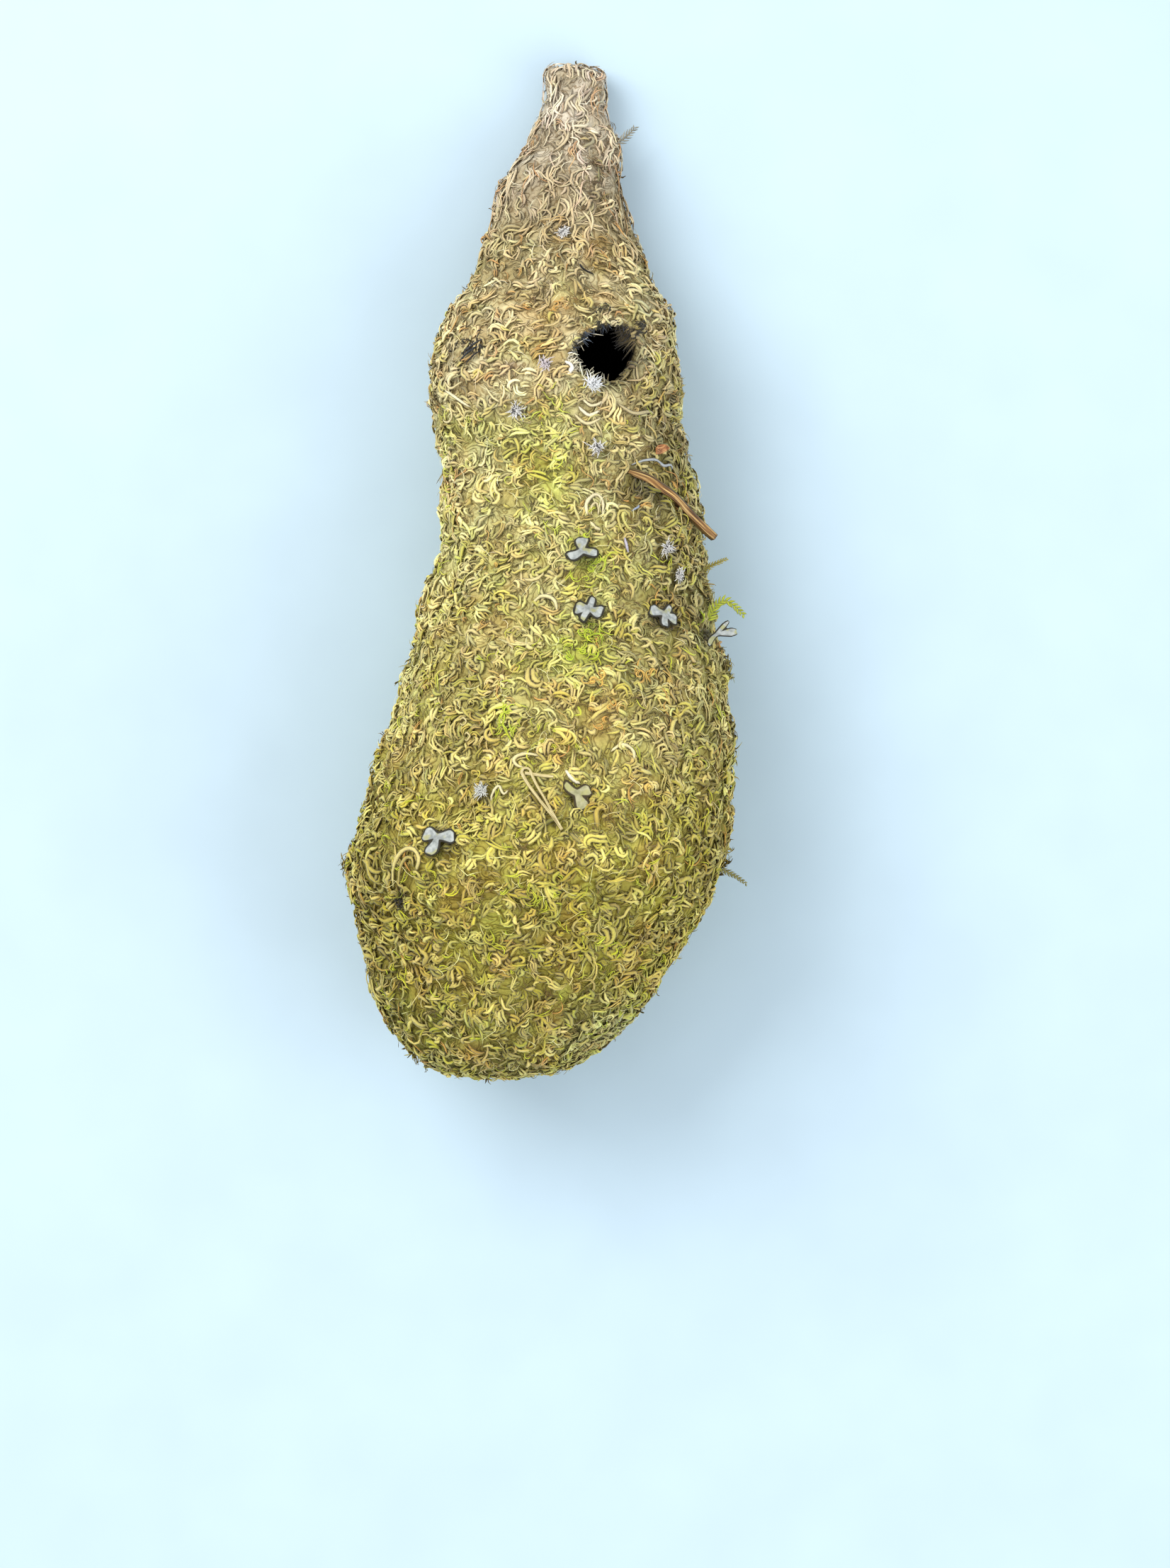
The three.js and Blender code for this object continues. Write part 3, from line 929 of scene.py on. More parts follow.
class StrandMesh:
    """Many narrow strands in one mesh, each with a ridge and two edges, closed below and at its ends."""

    SIDES = 3

    def __init__(self, paths: Array, ups: Array, half_widths: Array, heights: Array) -> None:
        """Works out the vertices and faces.

        Args:
            paths: middle line of each strand, by strand and joint, in metres.
            ups: direction of the ridge at each joint.
            half_widths: half the width at each joint, in metres.
            heights: height of the ridge at each joint, in metres.
        """
        self.count, self.joints = paths.shape[:2]
        tangents = unit(np.gradient(paths, axis=1))
        across = unit(np.cross(ups, tangents))
        aside = across * half_widths[..., None]
        ridge = np.cross(tangents, across) * heights[..., None]
        self.points = np.stack([paths + aside, paths + ridge, paths - aside], axis=2).reshape(-1, 3)
        self.points[:, 2] = np.maximum(self.points[:, 2], FLOOR_GAP * MM)
        first = np.arange(self.count)[:, None] * self.joints * self.SIDES
        joint = np.arange(self.joints - 1)[None, :, None] * self.SIDES
        side = np.arange(self.SIDES)[None, None, :]
        here = first[..., None] + joint + side
        there = first[..., None] + joint + (side + 1) % self.SIDES
        self.quads = np.stack([here, there, there + self.SIDES, here + self.SIDES], axis=-1).reshape(-1, 4)
        last = first + (self.joints - 1) * self.SIDES
        self.caps = np.concatenate([first + np.array([2, 1, 0]), last + np.array([0, 1, 2])])

    def atlas(self) -> Array:
        """Lays every strand out in a cell of its own, as a strip, for baking.

        Returns:
            Places on the map, one for each face corner.
        """
        cells = math.ceil(math.sqrt(self.count))
        index = np.arange(self.count)
        along = np.arange(self.joints) / (self.joints - 1)
        low = np.arange(self.SIDES) / self.SIDES
        grid = np.zeros((self.joints - 1, self.SIDES, 4, 2))
        grid[..., :2, 0] = along[:-1, None, None]
        grid[..., 2:, 0] = along[1:, None, None]
        grid[..., (0, 3), 1] = low[None, :, None]
        grid[..., (1, 2), 1] = low[None, :, None] + 1 / self.SIDES
        strip = grid.reshape(-1, 2) * CELL_SHARE + CELL_MARGIN
        corner = np.stack([index % cells, index // cells], axis=-1)[:, None, :]
        blocks = (strip, np.array(END_CORNERS), np.array(END_CORNERS) + (0, 0.5))
        return np.concatenate([((corner + block) / cells).reshape(-1, 2) for block in blocks])

    def build(self, name: str, tints: Array, baked: bool = True) -> Piece:
        """Makes the object.

        Args:
            name: the piece's name.
            tints: linear colour of each strand at each joint.
            baked: whether the piece brings its own map for baking.

        Returns:
            The object.
        """
        mesh = bpy.data.meshes.new(name)
        loops = np.concatenate([self.quads.ravel(), self.caps.ravel()])
        cap_starts = self.quads.size + np.arange(len(self.caps)) * 3
        starts = np.concatenate([np.arange(len(self.quads)) * 4, cap_starts])
        mesh.vertices.add(len(self.points))
        mesh.vertices.foreach_set("co", self.points.astype(np.float32).ravel())
        mesh.loops.add(len(loops))
        mesh.loops.foreach_set("vertex_index", loops.astype(np.int32))
        mesh.polygons.add(len(starts))
        mesh.polygons.foreach_set("loop_start", starts.astype(np.int32))
        mesh.polygons.foreach_set("use_smooth", np.ones(len(starts), bool))
        if baked:
            layer = mesh.uv_layers.new(name="OFBake")
            layer.data.foreach_set("uv", self.atlas().astype(np.float32).ravel())
        mesh.update(calc_edges=True)
        add_tints(mesh, np.repeat(tints.reshape(-1, 3), self.SIDES, axis=0))
        add_attribute(mesh, "crown", np.tile([0.0, 1.0, 0.0], self.count * self.joints))
        piece = bpy.data.objects.new(name, mesh)
        bpy.context.scene.collection.objects.link(piece)
        return piece


class CurlShape(Enum):
    """Ways in which a strand bends."""

    ARC = "arc"
    HOOK = "hook"
    WAVE = "wave"
    LOOP = "loop"


# How far the kinds of curl turn, in radians, from least to most, and how the turn grows along them
CURL_TURNS = {CurlShape.ARC: (1.2, 3.3), CurlShape.HOOK: (2.8, 5.2), CurlShape.LOOP: (4.6, 6.6)}
CURL_GROWTH = {CurlShape.HOOK: 3, CurlShape.LOOP: 0.85}
WAVE_SWING = (0.6, 1.25)
WAVE_COUNT = (0.8, 1.9)


def headings(shape: CurlShape, count: int, along: Array, rng: np.random.Generator) -> Array:
    """Heading of each strand along its length, beside the way it sets out.

    Args:
        shape: how the strands bend.
        count: how many strands.
        along: share of the length at each joint.
        rng: the source of random numbers.

    Returns:
        An angle for each strand and joint, in radians.
    """
    hand = rng.choice([-1.0, 1.0], (count, 1))
    if shape is CurlShape.WAVE:
        swing = rng.uniform(*WAVE_SWING, (count, 1))
        cycles = rng.uniform(*WAVE_COUNT, (count, 1))
        start = rng.random((count, 1))
        return hand * swing * np.sin(2 * math.pi * (cycles * along + start))
    growth = along ** CURL_GROWTH[shape] if shape in CURL_GROWTH else along - 0.5
    return hand * rng.uniform(*CURL_TURNS[shape], (count, 1)) * growth


NECK_FROM = 238
NECK_TO = 262
RESTING_SHARE = 0.4


@dataclass(frozen=True)
class Ground:
    """Where on the nest a kind of strand lies."""

    low: float = -30.0
    high: float = 340.0
    soft: float = 20.0
    right: float = 0.0
    patch: float = 0.0
    share: float = 1.0
    neck: float = 0.12
    least: float = 0.25
    seed: int = 1

    def density(self, points: Array, normals: Array) -> Array:
        """Share of the places, from 0 to 1, that it takes.

        Args:
            points: places in the frame.
            normals: the way the surface faces there.

        Returns:
            A share for each place.
        """
        _, up = on_nest(points)
        density = smooth_step(self.low - self.soft, self.low + self.soft, up)
        density *= 1 - smooth_step(self.high - self.soft, self.high + self.soft, up)
        density *= 1 - (1 - self.neck) * smooth_step(NECK_FROM, NECK_TO, up)
        density *= np.clip(1 + self.right * normals[:, 0], 0, 2) / (1 + abs(self.right))
        if self.patch:
            cloud = blotches(points, self.patch, self.seed)
            level = np.quantile(cloud, 1 - self.share)
            density *= self.least + (1 - self.least) * smooth_step(level - 0.25, level + 0.25, cloud)
        resting = (normals[:, 2] < -0.85) & (points[:, 2] < 3 * MM)
        return np.where(resting, density * RESTING_SHARE, density)


Shapes = tuple[tuple[CurlShape, float], ...]
MIXED: Shapes = (
    (CurlShape.ARC, 0.36), (CurlShape.WAVE, 0.38), (CurlShape.HOOK, 0.19), (CurlShape.LOOP, 0.07),
)
BROAD: Shapes = ((CurlShape.HOOK, 0.45), (CurlShape.ARC, 0.3), (CurlShape.WAVE, 0.25))
LOOPS: Shapes = ((CurlShape.LOOP, 0.6), (CurlShape.HOOK, 0.4))
STRAIGHT: Shapes = ((CurlShape.ARC, 0.4), (CurlShape.WAVE, 0.6))


@dataclass(frozen=True)
class Coat:
    """One kind of strand in the coat of the nest. Sizes are in millimetres, as lowest and highest.

    Own is the share of its own tone, beside the tone of the ground. Spots, as x, up and how far they spread
    both ways, take the place of the ground.
    """

    name: str
    count: int
    tone: str
    own: float
    light: float
    length: Pair
    width: Pair
    seed: int
    layer: Pair = (0.1, 0.9)
    lift: Pair = (0.2, 1.0)
    joints: int = 6
    shapes: Shapes = MIXED
    lengthwise: float = 0.0
    wander: float = 1.5
    bundle: tuple[int, int] = (1, 2)
    ground: Ground = field(default_factory=Ground)
    rise: float = 0.0
    wobble: float = 0.34
    vary: float = 0.11
    spots: tuple[tuple[float, float, float, float], ...] = ()
    edge: float = 0.7
    slot: str = "felted_moss"


BUNDLE_GAP = 1.0
BUNDLE_SPREAD = 0.1
OWN_LENGTH = (0.75, 1.05)
OWN_WIDTH = (0.8, 1.2)
OWN_RISE = (0.3, 1.0)
OWN_WOBBLE = 0.14
WEAK_CROSS = 0.2
FLATNESS = 0.6
TUCK = 0.5
ROLL = 0.35
POOL = 5
KEEP_CLEAR = 0.15
GROUND_STAIN = 0.42


def swell(along: Array, power: float) -> Array:
    """From 0 at both ends to 1 in the middle, fuller with a lower power."""
    return np.sin(math.pi * along) ** power


class CurlCoat:
    """Lays one kind of strand over the felt."""

    def __init__(self, coat: Coat, skin: Skin, tones: Tones, clearings: Sequence[Triple]) -> None:
        """Keeps what the strands are laid on.

        Args:
            coat: the kind of strand.
            skin: the surface.
            tones: colours of the surface.
            clearings: round places with nothing on top of them, as x, up and radius.
        """
        self.coat = coat
        self.skin = skin
        self.tones = tones
        self.clearings = clearings
        self.rng = np.random.default_rng(coat.seed)

    def sites(self) -> tuple[Array, Array]:
        """Picks where the bundles of strands lie, and gives the normals there too.

        Returns:
            The places and the normals.
        """
        wanted = math.ceil(self.coat.count / (sum(self.coat.bundle) / 2))
        if self.coat.spots:
            return self.local_sites(wanted)
        points, normals = self.skin.scatter(wanted * POOL, self.rng)
        density = self.coat.ground.density(points, normals)
        order = np.argsort(self.rng.random(len(points)) / np.maximum(density, 1e-6))[:wanted]
        return points[order], normals[order]

    def local_sites(self, wanted: int) -> tuple[Array, Array]:
        """Picks sites about the coat's own spots on the front.

        Args:
            wanted: how many.

        Returns:
            The places and the normals.
        """
        found = []
        for index in range(wanted):
            x, up, wide, high = self.coat.spots[index % len(self.coat.spots)]
            found.append(self.skin.drop(*(self.rng.normal(0, 0.5, 2) * (wide, high) + (x, up))))
        points, normals = zip(*found)
        return np.array(points), np.array(normals)

    def curls(self, count: int, along: Array) -> Array:
        """Headings of all the bundles, each of its own shape.

        Args:
            count: how many bundles.
            along: share of the length at each joint.

        Returns:
            An angle for each bundle and joint.
        """
        shares = np.array([share for _, share in self.coat.shapes])
        picks = self.rng.choice(len(shares), count, p=shares / shares.sum())
        bends = np.zeros((count, len(along)))
        for number, (shape, _) in enumerate(self.coat.shapes):
            chosen = picks == number
            bends[chosen] = headings(shape, int(chosen.sum()), along, self.rng)
        return bends

    def build(self) -> Piece:
        """Lays the strands and dresses them.

        Returns:
            The piece.
        """
        coat, rng = self.coat, self.rng
        along = np.linspace(0, 1, coat.joints)
        points, normals = self.sites()
        bends = self.curls(len(points), along)
        sizes = rng.integers(coat.bundle[0], coat.bundle[1] + 1, len(points))
        member = np.concatenate([np.arange(size) - (size - 1) / 2 for size in sizes])
        pick = np.repeat(np.arange(len(points)), sizes)
        set_out = rng.normal(0, coat.wander, len(points)) + rng.integers(0, 2, len(points)) * math.pi
        set_out += coat.lengthwise * math.pi / 2
        width = rng.uniform(*coat.width, len(points))[pick]
        length = rng.uniform(*coat.length, len(points))[pick] * rng.uniform(*OWN_LENGTH, len(pick))
        bends += np.cumsum(rng.normal(0, coat.wobble, bends.shape), axis=1)
        angle = set_out[pick, None] + bends[pick]
        angle += np.cumsum(rng.normal(0, OWN_WOBBLE, angle.shape), axis=1)
        base, ups = self.skin.settle(self.flat_paths(points, normals, pick, angle, length, member * width))
        base[:, 1:-1] = base[:, 1:-1] * 0.5 + (base[:, :-2] + base[:, 2:]) * 0.25
        arch = swell(along, 0.7)
        layer = rng.uniform(*coat.layer, len(points))[pick]
        layer += rng.uniform(-BUNDLE_SPREAD, BUNDLE_SPREAD, len(pick))
        lift = rng.uniform(*coat.lift, len(pick))
        height = layer[:, None] + lift[:, None] * arch - TUCK * (1 - arch)
        height = height + coat.rise * rng.uniform(*OWN_RISE, (len(pick), 1)) * along**2
        paths = base + ups * self.clear(base, height)[..., None] * MM
        roll = rng.normal(0, ROLL, len(pick))[:, None, None]
        tangents = unit(np.gradient(paths, axis=1))
        tilted = ups * np.cos(roll) + np.cross(ups, tangents) * np.sin(roll)
        half = width[:, None] / 2 * (0.35 + 0.65 * swell(along, 0.5))
        half = half * rng.uniform(*OWN_WIDTH, half.shape)
        strands = StrandMesh(paths, tilted, half * MM, half * FLATNESS * MM)
        colour = self.colours(self.tones.at(points, normals), pick, layer)
        # Painted shade at the entrance, in the hollows, and at the strand ends that tuck into the felt
        shade = entrance_shade(paths) * hollow_shade(paths) * (0.72 + 0.28 * swell(along, 0.5))
        piece = strands.build("curls_" + coat.name, colour[:, None, :] * shade[..., None])
        return finish_piece(piece, FibreFinish(coat.name + "_strands", coat.edge).material())

    def flat_paths(
        self, points: Array, normals: Array, pick: Array, angle: Array, length: Array, aside: Array
    ) -> Array:
        """Middle lines in the plane that touches the nest at each bundle.

        Args:
            points: places of the bundles.
            normals: normals there.
            pick: the bundle of each strand.
            angle: heading of each strand at each joint.
            length: length of each strand.
            aside: how far each strand lies from the middle of its bundle.

        Returns:
            A place for each strand and joint.
        """
        across = np.cross((0.0, 1.0, 0.0), normals)
        weak = np.linalg.norm(across, axis=1) < WEAK_CROSS
        across[weak] = np.cross((1.0, 0.0, 0.0), normals[weak])
        across = unit(across)
        upward = np.cross(normals, across)
        step = (length / (angle.shape[1] - 1))[:, None]
        u = np.cumsum(np.cos(angle) * step, axis=1)
        v = np.cumsum(np.sin(angle) * step, axis=1)
        gap = (aside * BUNDLE_GAP)[:, None]
        u = u - u.mean(axis=1, keepdims=True) - np.sin(angle) * gap
        v = v - v.mean(axis=1, keepdims=True) + np.cos(angle) * gap
        moved = u[..., None] * across[pick, None] + v[..., None] * upward[pick, None]
        return points[pick, None] + moved * MM

    def clear(self, base: Array, height: Array) -> Array:
        """Presses the strands down where something lies on top of them.

        Args:
            base: the strands' places on the felt.
            height: how high they lie at each joint.

        Returns:
            The heights, pressed down where that is needed.
        """
        x, up = on_nest(base)
        front = base[..., 2] > FRONT_LEVEL
        for clear_x, clear_up, radius in self.clearings:
            inside = front & (np.hypot(x - clear_x, up - clear_up) < radius)
            height = np.where(inside, np.minimum(height, KEEP_CLEAR), height)
        return height

    def colours(self, ground: Array, pick: Array, layer: Array) -> Array:
        """Colours of the strands, from the ground's at their bundles, and darker the lower they lie as
        painted shade.

        Args:
            ground: the felt's colour at each bundle.
            pick: the bundle of each strand.
            layer: how high each strand lies.

        Returns:
            A linear colour for each strand.
        """
        coat, rng = self.coat, self.rng
        stain = (ground / ground.mean(axis=-1, keepdims=True)) ** GROUND_STAIN
        colour = ground + (linear(coat.tone) * stain - ground) * coat.own
        colour = colour[pick] * coat.light
        colour *= np.exp(rng.normal(0, coat.vary, (len(pick), 1)))
        colour *= np.exp(rng.normal(0, coat.vary * 0.25, (len(pick), 3)))
        # Painted shade: strands lower in the coat are darker
        return colour * (0.8 + 0.3 * np.clip(layer, 0, 1.2))[:, None]


COATS = (
    Coat(
        "matting", 1750, "b8a868", 0.25, 0.85, (3.0, 6.5), (0.7, 1.2), 11,
        layer=(-0.1, 0.3), lift=(0.0, 0.5), joints=5, ground=Ground(neck=0.5),
    ),
    Coat(
        "straw", 4600, "dccf9a", 0.12, 1.05, (4.0, 9.0), (0.8, 1.4), 19,
        layer=(0.0, 0.6), lift=(0.1, 0.7), wander=1.2,
    ),
    Coat(
        "low_straw", 1700, "d0c486", 0.15, 1.0, (4.0, 8.0), (0.9, 1.5), 27,
        layer=(0.0, 0.5), lift=(0.1, 0.7), wander=1.2, ground=Ground(high=150, soft=40),
    ),
    Coat(
        "broad", 130, "ddd094", 0.35, 1.05, (8.0, 14.0), (1.3, 1.9), 28,
        layer=(0.4, 0.9), lift=(0.3, 0.9), joints=11, vary=0.1, shapes=BROAD, wobble=0.15,
        ground=Ground(high=130, soft=40),
    ),
    Coat(
        "cream", 2600, "efe5c0", 0.34, 1.08, (4.0, 9.0), (0.8, 1.4), 12, wander=0.7,
        ground=Ground(right=-0.3, patch=11, share=0.5, seed=3),
    ),
    Coat(
        "ochre", 1800, "c8a868", 0.35, 1.02, (4.0, 9.0), (0.6, 1.2), 13, wander=0.7,
        ground=Ground(patch=13, share=0.5, seed=4),
    ),
    Coat(
        "olive", 2600, "bcb84a", 0.4, 1.0, (4.0, 9.0), (0.7, 1.3), 14, wander=0.7,
        ground=Ground(high=215, patch=15, share=0.5, neck=0.1, seed=5),
    ),
    Coat(
        "grey", 1800, "aaa28a", 0.4, 0.95, (4.0, 9.0), (0.7, 1.3), 15, wander=0.7, slot="grey_lichen",
        ground=Ground(right=0.7, patch=15, share=0.5, neck=0.6, seed=6),
    ),
    Coat(
        "green", 1100, "b0bb34", 0.75, 1.05, (4.0, 8.0), (0.3, 0.5), 16, slot="green_moss",
        layer=(0.5, 1.0), lift=(0.3, 1.0),
        ground=Ground(high=205, patch=12, share=0.3, neck=0.0, least=0.03, seed=7),
    ),
    Coat(
        "rust", 400, "bf9050", 0.6, 1.0, (3.0, 7.0), (0.4, 0.8), 17, layer=(0.3, 0.9), wander=0.7,
        ground=Ground(low=150, soft=60, patch=12, share=0.3, neck=0.7, least=0.1, seed=8),
    ),
    Coat(
        "neck", 2150, "dccfb4", 0.35, 1.05, (6.0, 15.0), (0.5, 1.0), 18, lift=(0.1, 0.5), lengthwise=1.0,
        wander=0.35, bundle=(1, 3), shapes=STRAIGHT, ground=Ground(low=256, soft=10, neck=1.0), wobble=0.14,
    ),
    Coat(
        "neck_streaks", 240, "b98a54", 0.7, 1.0, (8.0, 16.0), (0.3, 0.6), 21,
        layer=(0.8, 1.1), lift=(0.1, 0.4), joints=7, lengthwise=1.0, wander=0.25,
        shapes=STRAIGHT, ground=Ground(low=250, soft=8, neck=1.0), wobble=0.1,
    ),
    Coat(
        "rootlets", 5100, "5c4726", 0.8, 0.85, (2.5, 7.0), (0.16, 0.28), 22,
        layer=(0.7, 1.15), lift=(0.1, 0.5), joints=4, bundle=(1, 3), vary=0.25, edge=0.2,
        ground=Ground(right=0.25, patch=9, share=0.55, neck=0.8, least=0.4, seed=9),
    ),
    Coat(
        "wisps", 1300, "a79b72", 0.5, 0.95, (3.0, 7.0), (0.3, 0.6), 23,
        layer=(0.0, 0.5), lift=(0.1, 0.6), rise=3.2, ground=Ground(neck=1.0),
    ),
    Coat(
        "silk", 700, "e4e2da", 0.75, 1.05, (5.0, 12.0), (0.14, 0.22), 20, slot="grey_lichen", edge=0.0,
        layer=(0.8, 1.3), lift=(0.1, 0.8), joints=5, bundle=(1, 1), shapes=STRAIGHT,
        ground=Ground(neck=1.0),
    ),
    # Dark flecks, mostly dark bits on the felt; the spot at x 29.2, up 221.6 carries the entrance's dark
    # smear to the upper right, which is painted shade
    Coat(
        "dark_flecks", 136, "1f1f22", 0.95, 0.9, (1.2, 3.0), (0.25, 0.5), 24,
        layer=(1.0, 1.4), joints=5, wander=0.6, shapes=STRAIGHT, edge=0.0,
        spots=(
            (19.4, 228.4, 3.6, 1.6), (19.0, 223.8, 2.2, 1.0), (30.4, 224.2, 1.0, 0.8),
            (-18.8, 216.4, 4.2, 3.6), (-16.8, 218.6, 3.0, 2.4), (-38.0, 54.0, 2.6, 1.6),
            (12.4, 219.0, 2.0, 2.6), (29.2, 221.6, 2.4, 1.2),
        ),
    ),
    Coat(
        "ragged", 210, "8a7c50", 0.7, 1.0, (3.0, 6.5), (0.35, 0.7), 29,
        layer=(0.3, 0.9), bundle=(1, 3), rise=3.4, vary=0.25,
        spots=(
            (57.0, 129.0, 1.5, 6.0), (57.0, 122.0, 1.5, 4.0), (57.0, 151.0, 1.5, 4.0),
            (58.0, 64.0, 1.0, 5.0), (-60.0, 65.6, 1.0, 5.0), (-42.0, 2.0, 5.0, 2.0),
            (31.0, 282.0, 1.0, 9.0), (45.0, 193.0, 1.0, 12.0), (-38.0, 214.0, 1.0, 10.0),
            (-38.0, 196.0, 1.0, 5.0),
        ),
    ),
    Coat(
        "green_loops", 62, "a9ba3a", 0.9, 1.0, (5.0, 10.0), (0.28, 0.42), 25, slot="green_moss",
        layer=(1.0, 1.5), joints=10, shapes=LOOPS, edge=0.3,
        spots=(
            (13.2, 126.6, 7.0, 5.0), (17.0, 153.0, 6.0, 6.0), (15.0, 131.0, 5.0, 4.0),
            (-8.0, 106.0, 3.0, 6.0),
        ),
    ),
    Coat(
        "rust_loops", 46, "c49a54", 0.8, 1.0, (4.0, 8.0), (0.3, 0.5), 26,
        layer=(1.0, 1.4), joints=9, shapes=LOOPS, edge=0.2,
        spots=(
            (19.1, 109.6, 5.0, 6.0), (19.0, 118.0, 4.0, 5.0), (1.0, 229.0, 7.0, 4.0),
            (30.4, 120.0, 2.0, 3.0),
        ),
    ),
)


def smooth_route(points: Array, count: int) -> Array:
    """Samples a smooth curve through points, evenly spaced in number between them.

    Args:
        points: places that the curve passes.
        count: how many samples.

    Returns:
        The samples.
    """
    padded = np.concatenate([points[:1] * 2 - points[1:2], points, points[-1:] * 2 - points[-2:-1]])
    spans = len(points) - 1
    samples = []
    for value in np.linspace(0, spans, count):
        span = min(int(value), spans - 1)
        t = value - span
        a, b, c, d = padded[span : span + 4]
        squared = (2 * a - 5 * b + 4 * c - d) * t**2
        cubed = (3 * b - a - 3 * c + d) * t**3
        samples.append(0.5 * (2 * b + (c - a) * t + squared + cubed))
    return np.array(samples)


@dataclass(frozen=True)
class Strand:
    """One strand that can be told apart: its width, its tone, its route on the front and its slot."""

    width: float
    tone: str
    route: tuple[Pair, ...]
    slot: str = "felted_moss"


SINGLE_STRANDS = (
    Strand(1.0, "a7adb0", (
        (28.1, 182.7), (31.3, 184.2), (34.4, 184.6), (36.1, 183.1), (37.2, 182.3), (39.1, 183.1),
        (39.9, 181.7),
    ), "grey_lichen"),
    Strand(0.9, "b7b2c2", ((26.0, 160.9), (26.4, 158.8), (27.1, 156.4)), "grey_lichen"),
    Strand(0.7, "94a0b4", ((28.1, 168.8), (29.2, 169.6), (30.0, 170.5)), "grey_lichen"),
    Strand(1.1, "e4dab2", ((-26.5, 205.4), (-23.0, 203.3), (-19.0, 199.9))),
    Strand(0.9, "d9c994", ((-26.4, 208.0), (-24.0, 205.6), (-21.4, 207.4))),
    Strand(0.8, "dccd9a", (
        (-26.9, 198.2), (-25.4, 200.3), (-23.8, 198.8), (-24.4, 196.4), (-26.2, 196.2), (-26.9, 198.0),
    )),
    Strand(1.3, "e2d7ae", ((15.2, 167.0), (14.7, 170.7), (17.0, 173.3), (19.3, 171.4), (19.5, 167.6))),
    Strand(0.8, "cfc294", ((16.3, 167.4), (16.2, 169.6), (17.2, 170.6), (18.2, 169.4), (18.3, 167.6))),
    Strand(1.2, "dfd2a0", ((16.0, 165.6), (17.4, 163.8), (19.0, 163.2))),
    Strand(0.9, "aeb636", ((-9.5, 107.4), (-8.2, 104.0), (-6.3, 99.8)), "green_moss"),
    Strand(1.3, "ece3c4", ((8.8, 92.4), (10.4, 89.9), (13.0, 88.4))),
    Strand(1.0, "ddd2a4", ((-12.6, 82.7), (-12.0, 85.7), (-10.3, 87.4), (-8.9, 84.9), (-7.6, 86.6))),
    Strand(1.3, "ddd09a", ((1.3, 96.6), (-2.5, 97.0), (-5.7, 95.4), (-5.1, 93.3), (-2.6, 92.6))),
    Strand(0.7, "c9ba80", ((-21.6, 106.3), (-20.6, 107.5), (-19.5, 106.3), (-20.6, 105.1), (-21.6, 106.2))),
    Strand(0.7, "c9ba80", ((-20.5, 101.9), (-19.5, 103.1), (-18.4, 101.9), (-19.5, 100.7), (-20.5, 101.8))),
    Strand(1.5, "d3c47c", (
        (-41.4, 58.4), (-40.9, 64.7), (-38.2, 68.9), (-34.7, 69.3), (-33.2, 66.4), (-34.7, 63.0),
    )),
    Strand(1.1, "b5a55c", ((-39.6, 58.0), (-39.0, 63.6), (-37.2, 66.8), (-35.2, 66.6), (-35.4, 64.4))),
    Strand(1.2, "f0e6c4", ((12.6, 199.8), (15.2, 197.4), (18.6, 198.6))),
    Strand(0.7, "1d1a16", ((13.0, 242.8), (13.4, 241.0), (15.2, 239.8), (17.0, 239.6))),
    Strand(0.7, "33383f", ((-22.4, 212.8), (-19.6, 215.4), (-16.0, 218.2))),
    Strand(0.7, "45464a", ((-21.2, 215.2), (-18.4, 217.6), (-15.2, 219.8))),
    Strand(0.6, "2a2a2c", ((-20.4, 212.4), (-17.6, 214.8), (-15.2, 216.4))),
    Strand(1.0, "e6dab0", ((13.6, 202.0), (16.2, 200.2), (19.6, 201.4))),
    Strand(1.1, "ddd0a0", ((11.6, 197.6), (14.8, 195.0), (19.0, 196.4))),
    Strand(1.6, "f5f1e2", ((8.4, 212.8), (10.0, 210.6), (9.2, 208.6))),
    Strand(0.7, "9cb02c", ((47.7, 139.9), (48.6, 137.2), (47.2, 135.2)), "green_moss"),
    Strand(0.8, "c79a56", ((52.8, 129.6), (54.4, 130.6), (56.4, 129.8), (57.0, 127.8))),
    Strand(0.7, "b5853e", ((53.0, 127.4), (55.0, 128.0), (56.8, 126.6))),
    Strand(1.1, "bcae84", ((24.0, 200.6), (28.4, 197.6), (32.6, 198.8), (36.0, 196.2))),
    Strand(1.2, "e2d8a2", ((-1.0, 140.4), (2.0, 143.2), (5.6, 142.0), (6.4, 138.6))),
    Strand(1.2, "e6dba8", ((22.0, 97.8), (25.0, 99.6), (28.0, 98.0), (28.6, 95.0))),
)


